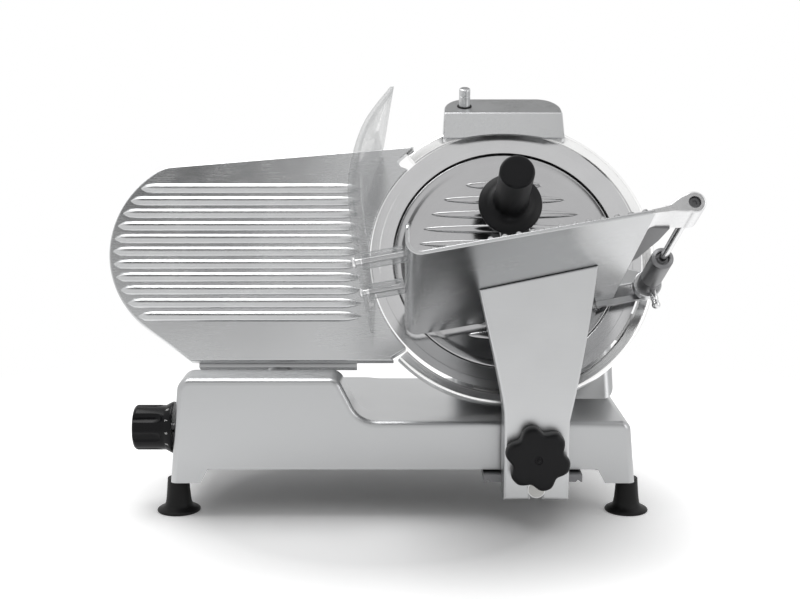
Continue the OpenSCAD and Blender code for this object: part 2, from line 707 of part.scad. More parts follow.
module grind_pin() {
    color([0.7, 0.71, 0.72]) blade_frame() pin_place() {
        translate([0, 0, -22]) cylinder(d = pin_d, h = pin_out + 20);
        translate([0, 0, pin_out - 2]) cylinder(d1 = pin_d, d2 = pin_d - 4, h = 2);
    }
}
module grinding_stone() {
    color([0.85, 0.84, 0.8]) blade_frame() pin_place() translate([0, 0, -30]) cylinder(d = stone_d * 0.7, h = 8);
}
module deburr_button() {
    color([0.7, 0.71, 0.72]) blade_frame() deburr_place() {
        translate([0, 0, -14]) cylinder(d = pin_d, h = deburr_out + 12);
        translate([0, 0, deburr_out - 2]) cylinder(d1 = pin_d, d2 = pin_d - 3, h = 2);
    }
}
module deburring_stone() {
    color([0.85, 0.84, 0.8]) blade_frame() deburr_place() translate([0, 0, -20]) cylinder(d = stone_d * 0.7, h = 6);
}
module sharpener_bracket() {
    from = sharp_back + sharp_wall + part_gap;
    color([0.74, 0.75, 0.76]) blade_frame() difference() {
        translate([-24, sharp_low + 6, from]) cube([48, 18, ring_back - 0.2 - from]);
        translate([0, sharp_low + 16, from - 1]) cylinder(r = 4.2, h = 14);
    }
}
module sharpener_knob() {
    color([0.08, 0.08, 0.08]) blade_frame() translate([0, sharp_low + 16, sharp_back - part_gap]) rotate([180, 0, 0]) {
        lobed_knob(30, 12, 6);
        translate([0, 0, -14]) cylinder(r = 4.1, h = 15);
    }
}

// Gauge plate

gauge_c = [-gauge_reach + 113, 10];
gauge_r = 113;
gauge_small_r = 35;
top_slope = 5.1;
notch_top = 134.7;
notch_low = 223.3;
function gauge_outline() = let (
        c2 = gauge_c + (gauge_r - gauge_small_r) * [cos(125), sin(125)],
        start = c2 + gauge_small_r * [cos(90 + top_slope), sin(90 + top_slope)],
        tip = [-101.5, start.y + (-101.5 - start.x) * tan(top_slope)],
        r = blade_r + gauge_gap)
    concat([[-344, -gauge_low], [-124, -gauge_low], [-127, -gauge_low + 4],
        (r + 1) * [cos(notch_low), sin(notch_low)]], arc([0, 0], r, notch_low - 1, notch_top + 1, 16),
        [[-117, 109], [-120, 114], [-117, 119.5], tip],
        arc(c2, gauge_small_r, 90 + top_slope, 125, 4), arc(gauge_c, gauge_r, 129, 230, 14));
// Hollow behind the plate, inside its rim and clear of the two notches
function gauge_hollow() = let (
        c2 = gauge_c + (gauge_r - gauge_small_r) * [cos(125), sin(125)], in = gauge_small_r - 4,
        start = c2 + in * [cos(90 + top_slope), sin(90 + top_slope)], low = -gauge_low + 4)
    concat([[-343, low], [-133, low], [-130, -104]], arc([0, 0], blade_r + gauge_gap + 5, 218, 140, 14),
        [[-126, 108], [-126, start.y + (-126 - start.x) * tan(top_slope)]],
        arc(c2, in, 90 + top_slope, 125, 4), arc(gauge_c, gauge_r - 4, 129, 230, 14));
gauge_face = 0.8;
rib_top = 82;
rib_r = 6;
rib_h = 2.2;
rib_end = -158;
module gauge_plate() {
    color([0.76, 0.77, 0.78]) blade_frame() {
        difference() {
            translate([0, 0, gauge_face - gauge_rim]) linear_extrude(gauge_rim) polygon(gauge_outline());
            translate([0, 0, gauge_face - gauge_rim - 1]) linear_extrude(gauge_rim - gauge_t + 1)
                polygon(gauge_hollow());
        }
        for (i = [0:gauge_ribs - 1]) gauge_rib(rib_top - i * gauge_rib_pitch);
    }
}
// One rib: a low round bar whose ends run down into the plate
rib_half = sqrt(rib_r * rib_r - pow(rib_r - rib_h, 2));
function rib_section(width, rise) = concat([[-width, -0.8], [width, -0.8]],
    [for (x = [1:-0.5:-1]) [width * x, rise * (sqrt(rib_r * rib_r - pow(rib_half * x, 2)) - rib_r + rib_h)
        - (rise < 0.1 ? 0.3 : 0)]]);
module gauge_rib(v) {
    reach = sqrt(gauge_r * gauge_r - pow(v - gauge_c.y, 2));
    from = gauge_c.x - reach + 3;
    translate([0, v, gauge_face]) rotate([90, 0, 90]) loft([[from, rib_section(rib_half * 0.3, 0.01)],
        [from + 14, rib_section(rib_half, 1)], [rib_end - 18, rib_section(rib_half, 1)],
        [rib_end, rib_section(rib_half * 0.3, 0.01)]]);
}
module gauge_bracket() {
    color([0.74, 0.75, 0.76]) {
        blade_frame() difference() {
            translate([neck_x - blade_x - 86, -gauge_low - 4, gauge_face - gauge_rim - 14])
                cube([172, 26, 13.8]);
            translate([neck_x - blade_x - far, -gauge_low + 6, gauge_face - gauge_rim - 9])
                cube([far - 30, 30, 20]);
            translate([neck_x - blade_x + 30, -gauge_low + 6, gauge_face - gauge_rim - 9])
                cube([far, 30, 20]);
        }
        difference() {
            translate([neck_x, neck_y, deck_z - 12]) cylinder(r = 13, h = 60);
            blade_frame() translate([-far, -gauge_low - 4, gauge_face - gauge_rim - 14]) cube([far, far, far]);
            translate([neck_x, gauge_rod_y, gauge_rod_z]) rotate([90 - blade_tilt, 0, 0])
                translate([0, 0, -60]) cylinder(r = gauge_rod_d / 2 + 1, h = 62);
        }
    }
}
// Direction from the gauge plate's front to its back, along the blade's axis
module gauge_axis(along) translate([0, along * cos(blade_tilt), -along * sin(blade_tilt)]) children();
gauge_block_from = 6;
gauge_block_l = 32;
gauge_block_h = 20;
module gauge_slide() {
    top = deck_z - 12.2;
    bar_from = follow_y + roller_r + 10;
    color([0.66, 0.67, 0.68]) {
        difference() {
            union() {
                translate([neck_x, gauge_rod_y, gauge_rod_z]) rotate([90 - blade_tilt, 0, 0])
                    translate([-18, -gauge_block_h / 2, -gauge_block_from - gauge_block_l])
                        cube([36, gauge_block_h, gauge_block_l]);
                translate([neck_x - 14, neck_y - 12, top - 12]) cube([28, 26, 12]);
                translate([cam_x - 4, bar_from, top - 16]) cube([neck_x - cam_x + 18, 12, 16]);
            }
            translate([neck_x, gauge_rod_y, gauge_rod_z]) rotate([90 - blade_tilt, 0, 0])
                translate([0, 0, -far / 2]) cylinder(r = gauge_rod_d / 2 + run_fit, h = far);
            translate([neck_x, neck_y, top]) cylinder(r = 13.3, h = 30);
        }
        translate([cam_x - cam_t / 2, follow_y, follow_z]) rotate([0, 90, 0]) cylinder(r = roller_r, h = cam_t);
        translate([cam_x - 4, follow_y + 2, follow_z - 3]) cube([8, roller_r + 12, 6]);
    }
}
module gauge_guide_rod() {
    color([0.85, 0.86, 0.87]) translate([neck_x, gauge_rod_y, gauge_rod_z]) rotate([90 - blade_tilt, 0, 0])
        translate([0, 0, -gauge_rod_end]) cylinder(d = gauge_rod_d, h = gauge_rod_end - gauge_rod_front);
}

// Index knob

module left_axis(from) translate([from, dial_y, dial_z]) rotate([0, -90, 0]) children();
dial_face = base_left(dial_z - dial_skirt_d / 2) - part_gap;
module index_knob() {
    skirt = 9;
    color([0.08, 0.08, 0.08]) left_axis(dial_face) difference() {
        union() {
            rotate_extrude() polygon([[0, 0], [dial_skirt_d / 2, 0], [dial_skirt_d / 2, 3],
                [dial_d / 2 + 0.5, skirt], [0, skirt]]);
            rotate_extrude() polygon(concat([[0, skirt - 1], [dial_d / 2, skirt - 1]],
                arc([dial_d / 2 - 6, skirt + dial_l - 6], 6, 0, 90, 4), [[0, skirt + dial_l]]));
        }
        for (i = [0:dial_flutes - 1]) rotate(i * 360 / dial_flutes)
            translate([dial_d / 2 + 1, 0, skirt + 2]) cylinder(r = 2.2, h = dial_l + 1, $fn = 16);
        translate([0, 0, -1]) cylinder(r = index_shaft_r, h = 26);
    }
}
module index_shaft() {
    color([0.75, 0.76, 0.77]) translate([dial_face - 25, dial_y, dial_z]) rotate([0, 90, 0])
        cylinder(r = index_shaft_r, h = cam_x + cam_t / 2 + 18 - dial_face + 25);
}
// Face cam on the shaft: its radius grows evenly with the angle
module index_cam() {
    n = 40;
    color([0.7, 0.66, 0.5]) translate([cam_x - cam_t / 2, dial_y, dial_z]) rotate([0, 90, 0]) difference() {
        linear_extrude(cam_t) polygon([for (i = [0:n]) let (s = cam_sweep * i / n,
                a = cam_start - s, r = cam_low_r + slice_max * s / cam_sweep) [r * cos(a), r * sin(a)]]);
        translate([0, 0, -1]) cylinder(r = index_shaft_r, h = cam_t + 2);
    }
}
cam_start = 90 - blade_tilt;

// Switch and cable gland

module on_left_face(y, z) translate([base_left(z), y, z]) rotate([0, draft - 90, 0]) children();
module switch_plate() {
    color([0.12, 0.12, 0.12]) on_left_face(switch_y, switch_z) difference() {
        union() {
            translate([-16, -32, 0.1]) cube([32, 64, 2]);
            translate([-12.6, -28.6, -20]) cube([25.2, 57.2, 21]);
        }
        for (y = [-14.5, 14.5]) translate([0, y, -12]) cylinder(r = 10 + part_gap, h = 20);
    }
}
module start_button() {
    color([0.1, 0.45, 0.2]) on_left_face(switch_y, switch_z) translate([0, -14.5, -7.5]) {
        cylinder(r = 10, h = 12);
        translate([0, 0, 12]) cylinder(r1 = 10, r2 = 9, h = 1);
    }
}
module stop_button() {
    color([0.6, 0.08, 0.06]) on_left_face(switch_y, switch_z) translate([0, 14.5, -7.5]) {
        cylinder(r = 10, h = 12);
        translate([0, 0, 12]) cylinder(r1 = 10, r2 = 9, h = 1);
    }
}
module cable_gland() {
    color([0.08, 0.08, 0.08]) translate([gland_x, base_d - wall, gland_z]) rotate([-90, 0, 0]) difference() {
        union() {
            translate([0, 0, -8]) cylinder(r = 7.9, h = 16);
            translate([0, 0, wall]) cylinder(r = 12, h = 6, $fn = 6);
            translate([0, 0, wall + 6]) cylinder(r1 = 9, r2 = 7, h = 14);
            translate([0, 0, -10]) cylinder(r = 11, h = 9.8);
        }
        translate([0, 0, -11]) cylinder(r = 4.5, h = 50);
    }
}

// Carriage

arm_half = arm_w / 2;
flare_z = 115;
function under_tray(x) = let (u = x - blade_x, v = tray_v - tray_t + u * tan(tray_roll)) v;
// Height of the tray's underside over a point of the floor plan
function under_z(x, y) = let (v = under_tray(x) - 0.6, w = (blade_y + v * sin(blade_tilt) - y) / cos(blade_tilt))
    blade_z + v * cos(blade_tilt) + w * sin(blade_tilt);
// The arm widens from flare_z upwards: nearly straight at the left, rounder at the right
arm_grow = (arm_top_w - arm_w) / 2;
function arm_left(h) = arm_x - arm_half - arm_grow * (sqrt(h * h + 400) - 20) / 119;
function arm_right(h) = arm_x + arm_half + arm_grow * (h / 130 - h * h / 82000);
arm_rise = 190;
arm_steps = 8;
function arm_h(i) = arm_rise * i / arm_steps;
function arm_outline() = concat([[arm_x - arm_half, arm_low], [arm_x - 5.7, arm_low], [arm_x - 5.7, arm_low + 17],
    [arm_x + 5.7, arm_low + 17], [arm_x + 5.7, arm_low], [arm_x + arm_half, arm_low]],
    [for (i = [0:arm_steps]) [arm_right(arm_h(i)), flare_z + arm_h(i)]],
    [for (i = [arm_steps:-1:0]) [arm_left(arm_h(i)), flare_z + arm_h(i)]]);
module carriage_arm() {
    color([0.78, 0.79, 0.8]) difference() {
        upright(arm_front, arm_d) linear_extrude(arm_d) polygon(arm_outline());
        upright(arm_front + arm_wall, arm_d) linear_extrude(arm_d + 1) polygon(concat(
            [[arm_x - arm_half + arm_wall, arm_low - 1], [arm_x + arm_half - arm_wall, arm_low - 1]],
            [for (i = [0:arm_steps]) [arm_right(arm_h(i)) - arm_wall, flare_z + arm_h(i) * 1.1]],
            [for (i = [arm_steps:-1:0]) [arm_left(arm_h(i)) + arm_wall, flare_z + arm_h(i) * 1.1]]));
        // Trimmed to the tray's underside
        tray_frame() translate([-far, -tray_t - 0.1, -far]) cube([2 * far, far, 2 * far]);
        translate([arm_x, arm_front - 1, star_z]) rotate([-90, 0, 0]) cylinder(r = 5.5, h = arm_wall + 2);
    }
    // Pad that the tray is screwed to
    color([0.78, 0.79, 0.8]) difference() {
        intersection() {
            upright(arm_front + 2, arm_d - 2) linear_extrude(arm_d - 2) polygon(arm_outline());
            tray_frame() translate([-far, -tray_t - 8, 0]) cube([2 * far, 7.9, far]);
        }
        tray_frame() for (s = arm_screw_a) tray_screw_place(s) cylinder(r = 2.6, h = 30);
    }
}
module carriage_slide() {
    low = arm_low + 9;
    color([0.6, 0.61, 0.62]) difference() {
        union() {
            translate([arm_x - 28, -arm_gap - upright_t, low]) cube([56, upright_t, 56]);
            translate([arm_x - slide_l / 2, -arm_gap - upright_t, low]) cube([slide_l, rail_y + 18 + arm_gap + upright_t, 8]);
            translate([arm_x - slide_l / 2, rail_y - 16, low]) cube([slide_l, 34, rail_z + 14 - low]);
            translate([arm_x - 16, rail_y, low]) cube([32, bar_y - rail_y + 10, 8]);
        }
        translate([arm_x - far / 2, rail_y, rail_z]) rotate([0, 90, 0]) cylinder(r = guide_d / 2 + run_fit, h = far);
        translate([arm_x, -far / 2, star_z]) rotate([-90, 0, 0]) cylinder(r = 5, h = far / 2 + 2);
        for (s = [-1, 1]) translate([arm_x + s * slide_l / 2, 0, low - 1]) rotate([0, s * 35, 0])
            translate([-6, -far / 2, -16]) cube([12, far, 16]);
        translate([arm_x, -far / 2, arm_low + 12]) rotate([-90, 0, 0]) cylinder(r = 4.05, h = far / 2 + 2);
        translate([arm_x - 9, bar_y - 6, low - 1]) cube([18, 12, 12]);
        roller_place() translate([0, 0, -11]) cylinder(r = 2.55, h = 20);
    }
}
module roller_place() translate([arm_x, bar_y, rail_z - bar_size - 7.4]) rotate([-90, 0, 0]) children();
module support_roller() {
    color([0.85, 0.85, 0.86]) roller_place() {
        translate([0, 0, -4.5]) cylinder(r = 7, h = 9);
        translate([0, 0, -10]) cylinder(r = 2.5, h = 18);
    }
}
module carriage_knob() {
    color([0.07, 0.07, 0.07]) translate([arm_x, arm_front - part_gap, star_z]) rotate([90, 12, 0]) {
        cylinder(r = 12, h = 4);
        translate([0, 0, 3]) lobed_knob(star_d, 18, 7);
    }
    color([0.6, 0.6, 0.6]) translate([arm_x, arm_front - 2, star_z]) rotate([-90, 0, 0])
        cylinder(r = 4.95, h = arm_d + upright_t - 0.5);
}
module locating_stud() {
    color([0.85, 0.84, 0.8]) translate([arm_x, arm_front - 2.5, arm_low + 12]) rotate([-90, 0, 0]) {
        cylinder(r = 9, h = 2.2);
        cylinder(r = 4, h = arm_d + 8);
    }
}

// Food tray

wall_lean = (tray_wall_h - corner_r + tray_t) * tan(tray_roll);
function tray_section() = concat([[tray_right, 0], [-tray_left + corner_r, 0]],
    arc([-tray_left + corner_r, corner_r - tray_t], corner_r - tray_t, 270, 180, 4),
    [[-tray_left + tray_t + wall_lean, tray_wall_h], [-tray_left + wall_lean, tray_wall_h]],
    arc([-tray_left + corner_r, corner_r - tray_t], corner_r, 180, 270, 5), [[tray_right, -tray_t]]);
ear_l = 42;
module food_tray() {
    color([0.78, 0.79, 0.8]) tray_frame() difference() {
        union() {
            translate([0, 0, tray_gap]) linear_extrude(tray_l) polygon(tray_section());
            for (a = [-tray_left + 24:tray_rib_pitch:tray_right - 8])
                translate([a, -0.9, tray_gap + 6]) cylinder(r = 2.6, h = tray_l - 6, $fn = 24);
            // Ear with the boss that holds the pusher's rod
            translate([rod_a, 0, tray_end - ear_l]) cylinder(r = boss_r, h = ear_l + 2);
            translate([tray_right - 52, -tray_t, tray_end - 34]) cube([rod_a - tray_right + 52, tray_t + 7, 36]);
            translate([tray_right - 1, -tray_t, tray_end - ear_l]) cube([rod_a - tray_right + 1, tray_t + 2, ear_l]);
        }
        translate([rod_a, 0, tray_end - ear_l - 1]) cylinder(d = rod_d, h = ear_l - 8);
        translate([rod_a, 0, tray_end - 9]) cylinder(r = 5.7, h = 20);
        for (s = arm_screw_a) tray_screw_place(s) {
            cylinder(r = 2.6, h = 30);
            translate([0, 0, -2]) cylinder(r = 4.1, h = 4);
        }
    }
}
arm_screw_a = [for (i = [5.5, 8.5, 11.5]) -tray_left + 24 + i * tray_rib_pitch];
arm_screw_w = (blade_y - 22 - tray_low * sin(blade_tilt) - (arm_front + arm_back) / 2 + 22) / cos(blade_tilt);
module tray_screw_place(a) translate([a, -0.1, arm_screw_w]) rotate([90, 0, 0]) children();
module tray_screws() {
    color([0.6, 0.6, 0.6]) tray_frame() for (s = arm_screw_a) tray_screw_place(s) {
        cylinder(r = 2.5, h = 12);
        cylinder(r = 4, h = 1.9);
    }
}

// Pusher

module pusher_rod() {
    color([0.85, 0.86, 0.87]) tray_frame() translate([rod_a, 0, rod_from]) cylinder(d = rod_d, h = tray_end - 9 - rod_from);
}
rod_from = 3;
sleeve_from = 15;
module rod_bracket() {
    color([0.74, 0.75, 0.76]) tray_frame() difference() {
        union() {
            translate([rod_a, 0, rod_from]) cylinder(r = 9, h = sleeve_from - rod_from - part_gap);
            translate([tray_right - 20, -tray_t - 6, rod_from + 5.2]) cube([rod_a - tray_right + 20, 5.9, 6]);
            translate([rod_a - 5, -10, rod_from + 5.2]) cube([5, 10, 6]);
        }
        translate([rod_a, 0, 0]) cylinder(d = rod_d, h = 30);
    }
}
ring_at = sleeve_from + 7;
module pusher_sleeve() {
    color([0.8, 0.81, 0.82]) tray_frame() translate([rod_a, 0, 0]) difference() {
        union() {
            translate([0, 0, sleeve_from]) cylinder(d = sleeve_d, h = 6.6);
            translate([0, 0, sleeve_from + 6]) cylinder(r = 8, h = arm_ring_l + 3);
            translate([0, 0, ring_at + arm_ring_l + part_gap]) cylinder(d = sleeve_d, h = sleeve_from + sleeve_l - ring_at - arm_ring_l - part_gap - 2);
            translate([0, 0, sleeve_from + sleeve_l - 2]) cylinder(d1 = sleeve_d, d2 = sleeve_d - 3, h = 2);
        }
        translate([0, 0, sleeve_from - 1]) cylinder(r = rod_d / 2 + run_fit, h = sleeve_l + 2);
        translate([0, 0, sleeve_from + sleeve_l - 6]) cylinder(r = 6.5, h = 8);
        pin_hole();
    }
}
module pin_hole() translate([0, -sleeve_d / 2 + 3, ring_at + arm_ring_l + 12]) rotate([90, 0, 0]) cylinder(r = 3.3, h = 9);
module sleeve_pin() {
    color([0.85, 0.86, 0.87]) tray_frame() translate([rod_a, -sleeve_d / 2 + 3, ring_at + arm_ring_l + 12])
        rotate([90, 0, 0]) {
            translate([0, 0, 0.2]) cylinder(r = 3.2, h = 18);
            translate([0, 0, 8]) cylinder(r = 4, h = 12);
            translate([0, 0, 20]) sphere(r = 4);
        }
}
module pusher_arm() {
    color([0.78, 0.79, 0.8]) tray_frame() difference() {
        union() {
            translate([rod_a, 0, ring_at]) cylinder(r = 15, h = arm_ring_l);
            translate([0, 0, ring_at + 2]) linear_extrude(6) polygon(arm_points());
        }
        translate([rod_a, 0, ring_at - 1]) cylinder(r = 8 + run_fit, h = arm_ring_l + 2);
    }
}
function arm_points() = [[rod_a - 8, 4.5], [rod_a, 15], [handle_a + 40, 52], [handle_a + 17, 74],
    [handle_a + 17, handle_b + 8], [handle_a + 8, handle_b + 17], [handle_a - 8, handle_b + 17],
    [handle_a - 17, handle_b + 8], [handle_a - 17, 40], [handle_a + 30, 22], [rod_a - 40, 4.5]];
module pusher_plate() {
    color([0.7, 0.71, 0.72]) tray_frame() {
        translate([0, 0, plate_w]) linear_extrude(plate_t) polygon(concat(
            arc([handle_a + pusher_w / 2 - 8, 14], 8, -90, 0, 4),
            arc([handle_a + pusher_w / 2 - 8, pusher_h - 2], 8, 0, 90, 4),
            arc([handle_a - pusher_w / 2 + 8, pusher_h - 2], 8, 90, 180, 4),
            arc([handle_a - pusher_w / 2 + 8, 14], 8, 180, 270, 4)));
        for (i = [0:6]) for (j = [0:3])
            translate([handle_a - 39 + i * 13, 16 + j * 17, plate_w + 0.2]) rotate([180, 0, 0])
                cylinder(r1 = 2.5, r2 = 0.4, h = 2.6, $fn = 4);
        for (b = [46, 66]) translate([handle_a, b, plate_w + plate_t]) cylinder(r = 6, h = ring_at + 2 - plate_w - plate_t);
    }
}
module pusher_handle() {
    top = disc_back + disc_t;
    color([0.05, 0.05, 0.05]) tray_frame() translate([handle_a, handle_b, 0]) rotate_extrude() polygon(concat(
        [[0, ring_at + 8], [10, ring_at + 8], [12, disc_back], [disc_d / 2 - 3, disc_back]],
        arc([disc_d / 2 - 3, disc_back + 3], 3, -90, 60, 4),
        [[handle_d / 2 + 6, top], [handle_d / 2 + 1.5, top + 2], [handle_d / 2 - 0.5, top + 8],
            [handle_d / 2, top + handle_l - 3], [handle_d / 2 - 3, top + handle_l], [0, top + handle_l]]));
}

// Thumb guard: a clear sheet bent along the carriage

near_edge = [[-42, -157, 284], [-51, -131, 352], [-47, -112, 388], [-35, -99, 420], [-12, -84, 450]];
far_edge = [[-35, 62, 186], [-34, 84, 232], [-41, 106, 276], [-45, 128, 325], [-25, 158, 380]];
function smooth(p, t) = let (n = len(p) - 1, i = min(floor(t), n - 1), f = t - i,
        a = p[max(i - 1, 0)], b = p[i], c = p[i + 1], d = p[min(i + 2, n)])
    0.5 * (2 * b + (c - a) * f + (2 * a - 5 * b + 4 * c - d) * f * f + (3 * b - a - 3 * c + d) * f * f * f);
guard_rows = 12;
guard_cols = 4;
function guard_point(i, j, side) = let (t = i * 4 / guard_rows, s = j / guard_cols,
        p = smooth(near_edge, t) * (1 - s) + smooth(far_edge, t) * s)
    p + [side * sheet_t, 0, 0];
module thumb_guard() {
    n = guard_cols + 1;
    count = (guard_rows + 1) * n;
    points = [for (side = [0, 1]) for (i = [0:guard_rows]) for (j = [0:guard_cols]) guard_point(i, j, side)];
    function at(side, i, j) = side * count + i * n + j;
    faces = concat(
        [for (i = [0:guard_rows - 1]) for (j = [0:guard_cols - 1]) each
            [[at(0, i, j), at(0, i + 1, j), at(0, i + 1, j + 1)], [at(0, i, j), at(0, i + 1, j + 1), at(0, i, j + 1)],
             [at(1, i, j), at(1, i + 1, j + 1), at(1, i + 1, j)], [at(1, i, j), at(1, i, j + 1), at(1, i + 1, j + 1)]]],
        [for (i = [0:guard_rows - 1]) each
            [[at(0, i, 0), at(1, i, 0), at(1, i + 1, 0)], [at(0, i, 0), at(1, i + 1, 0), at(0, i + 1, 0)],
             [at(0, i, n - 1), at(1, i + 1, n - 1), at(1, i, n - 1)], [at(0, i, n - 1), at(0, i + 1, n - 1), at(1, i + 1, n - 1)]]],
        [for (j = [0:guard_cols - 1]) each
            [[at(0, 0, j), at(1, 0, j + 1), at(1, 0, j)], [at(0, 0, j), at(0, 0, j + 1), at(1, 0, j + 1)],
             [at(0, guard_rows, j), at(1, guard_rows, j), at(1, guard_rows, j + 1)],
             [at(0, guard_rows, j), at(1, guard_rows, j + 1), at(0, guard_rows, j + 1)]]]);
    color([0.9, 0.93, 0.95, 0.4]) difference() {
        polyhedron(points, faces);
        for (w = spacer_w) spacer_place(w) translate([0, 0, -60]) cylinder(r = 3.2, h = 60);
    }
}
spacer_w = [130, 228];
spacer_l = [35.4, 40];
spacer_b = 16;
module spacer_place(w) tray_frame() translate([-tray_left, spacer_b, w]) rotate([0, 90, 0]) children();
module guard_spacers() {
    color([0.9, 0.93, 0.95, 0.5]) for (i = [0, 1]) spacer_place(spacer_w[i]) translate([0, 0, -spacer_l[i]])
        tube(spacer_d / 2, 3.2, spacer_l[i]);
}
module guard_screws() {
    // The heads lie outside the sheet, which the screws cross at a slant
    through = 2.3 + sheet_t;
    color([0.7, 0.7, 0.7]) for (i = [0, 1]) spacer_place(spacer_w[i]) {
        translate([0, 0, -spacer_l[i] - through]) cylinder(r = 3, h = spacer_l[i] + through);
        translate([0, 0, -spacer_l[i] - through - 3]) cylinder(r = 5.5, h = 3.1);
    }
}

module whole() translate([-mid_x, -mid_y, 0]) children();
whole() base_casting();
whole() bottom_plate();
whole() feet();
whole() foot_screws();
whole() guide_rod();
whole() support_bar();
whole() motor_housing();
whole() belt_housing();
whole() motor();
whole() blade_shaft();
whole() drive_belt();
whole() ring_guard();
whole() ring_screws();
whole() slice_deflector();
whole() sharpener_cover();
whole() sharpener_bracket();
whole() sharpener_knob();
whole() grind_pin();
whole() grinding_stone();
whole() deburr_button();
whole() deburring_stone();
whole() blade_cover();
whole() cover_tie_rod();
whole() cover_knob();
whole() blade();
whole() blade_hub();
whole() blade_bearings();
whole() blade_screws();
whole() motor_pulley();
whole() gauge_plate();
whole() gauge_bracket();
whole() gauge_slide();
whole() gauge_guide_rod();
whole() index_knob();
whole() index_shaft();
whole() index_cam();
whole() switch_plate();
whole() start_button();
whole() stop_button();
whole() cable_gland();
whole() carriage_arm();
whole() carriage_slide();
whole() carriage_knob();
whole() locating_stud();
whole() support_roller();
whole() food_tray();
whole() tray_screws();
whole() pusher_rod();
whole() rod_bracket();
whole() pusher_sleeve();
whole() sleeve_pin();
whole() pusher_arm();
whole() pusher_plate();
whole() pusher_handle();
whole() thumb_guard();
whole() guard_spacers();
whole() guard_screws();
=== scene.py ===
"""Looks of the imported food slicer: its visible pieces, their finishes, the plain studio and the camera.

Lengths are in millimetres in the frame of the base, the blade or the tray, and become metres
when a piece is placed.
"""

import json
import logging
import math
from collections.abc import Callable, Sequence
from dataclasses import dataclass, field
from enum import Enum

import bmesh
import bpy
from mathutils import Matrix, Vector


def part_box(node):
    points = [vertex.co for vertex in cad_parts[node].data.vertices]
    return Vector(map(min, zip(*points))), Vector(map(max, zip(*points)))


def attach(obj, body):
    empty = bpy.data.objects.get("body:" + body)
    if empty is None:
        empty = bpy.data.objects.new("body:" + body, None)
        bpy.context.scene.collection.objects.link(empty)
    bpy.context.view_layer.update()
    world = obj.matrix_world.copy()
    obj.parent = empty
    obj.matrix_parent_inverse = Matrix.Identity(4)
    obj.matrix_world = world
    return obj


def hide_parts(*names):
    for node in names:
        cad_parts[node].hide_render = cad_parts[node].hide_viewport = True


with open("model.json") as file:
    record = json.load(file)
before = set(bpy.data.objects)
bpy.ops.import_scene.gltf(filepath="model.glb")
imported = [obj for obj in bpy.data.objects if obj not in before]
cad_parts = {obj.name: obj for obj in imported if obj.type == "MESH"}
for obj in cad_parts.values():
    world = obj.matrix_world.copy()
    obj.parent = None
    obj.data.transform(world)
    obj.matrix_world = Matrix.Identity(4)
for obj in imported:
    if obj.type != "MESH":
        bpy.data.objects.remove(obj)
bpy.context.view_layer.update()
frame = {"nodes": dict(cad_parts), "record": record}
LOG = logging.getLogger("slicer")
METRE = 0.001

Flat = tuple[float, float]
Colour = tuple[float, float, float]


class Slot(Enum):
    """The record's material slots."""

    ANODISED = "anodised_aluminium"
    PLAIN = "plain_aluminium"
    BLADE = "blade_steel"
    BRIGHT = "bright_steel"
    SCREW = "screw_steel"
    MOTOR = "motor_paint"
    BLACK = "black_plastic"
    RUBBER = "black_rubber"
    GREEN = "green_plastic"
    RED = "red_plastic"
    STONE = "abrasive"
    CLEAR = "clear_plastic"


class Body(Enum):
    """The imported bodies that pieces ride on."""

    STAND = "stand"
    BLADE = "blade_unit"
    GAUGE = "gauge_unit"
    INDEX = "index_unit"
    CARRIAGE = "carriage"
    STAR_KNOB = "star_knob_unit"
    SLEEVE = "sleeve_unit"
    PUSHER = "pusher_unit"
    GRIND = "grind_unit"
    START = "start_unit"
    STOP = "stop_unit"


MERGE = 2e-6
ON_AXIS = 1e-6
STRAIGHT = math.radians(0.3)
ROUNDING_STEPS = 6
# Turns an outline drawn in Y and Z, so that its heights run along X
ALONG_X = Matrix(((0, 0, 1, 0), (1, 0, 0, 0), (0, 1, 0, 0), (0, 0, 0, 1)))


# Frames


def move(x: float, y: float, z: float) -> Matrix:
    """A shift.

    Args:
        x: Along X.
        y: Along Y.
        z: Along Z.

    Returns:
        The matrix.
    """
    return Matrix.Translation((x, y, z))


def rotate(degrees: float, axis: str) -> Matrix:
    """A turn about one axis.

    Args:
        degrees: The angle.
        axis: The axis' letter.

    Returns:
        The matrix.
    """
    return Matrix.Rotation(math.radians(degrees), 4, axis)


@dataclass(frozen=True)
class Layout:
    """The frames that the pieces are drawn in, as in the part's source."""

    rod_from: float = -186.0
    rod_y: float = 30.0
    blade_centre: tuple[float, float, float] = (115.0, 114.0, 262.0)
    blade_tilt: float = 26.0
    tray_drop: float = 69.0
    tray_roll: float = 10.6

    def base(self) -> Matrix:
        """Frame of the base: X along the carriage, Y away from the operator, Z up from the floor."""
        low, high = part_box("guide_rod")
        shift = Vector((low.x / METRE - self.rod_from, (low.y + high.y) / 2 / METRE - self.rod_y, 0))
        return Matrix.Scale(METRE, 4) @ Matrix.Translation(shift)

    def blade(self) -> Matrix:
        """Frame of the blade: X right, Y up along the blade, Z out towards the operator."""
        lean = rotate(90 - self.blade_tilt, "X")
        return self.base() @ Matrix.Translation(self.blade_centre) @ lean

    def tray(self) -> Matrix:
        """Frame of the tray: the blade's, lowered and rolled, with the tray's top at Y = 0."""
        roll = rotate(self.tray_roll, "Z")
        return self.blade() @ move(0, -self.tray_drop, 0) @ roll


LAYOUT = Layout()


# Shapes


def arc(centre: Flat, radius: float, start: float, end: float, steps: int) -> list[Flat]:
    """Points on an arc.

    Args:
        centre: Middle of the arc.
        radius: Its radius.
        start: First angle in degrees.
        end: Last angle in degrees.
        steps: Number of chords.

    Returns:
        The points, one more than the chords.
    """
    angles = [math.radians(start + (end - start) * i / steps) for i in range(steps + 1)]
    return [(centre[0] + radius * math.cos(a), centre[1] + radius * math.sin(a)) for a in angles]


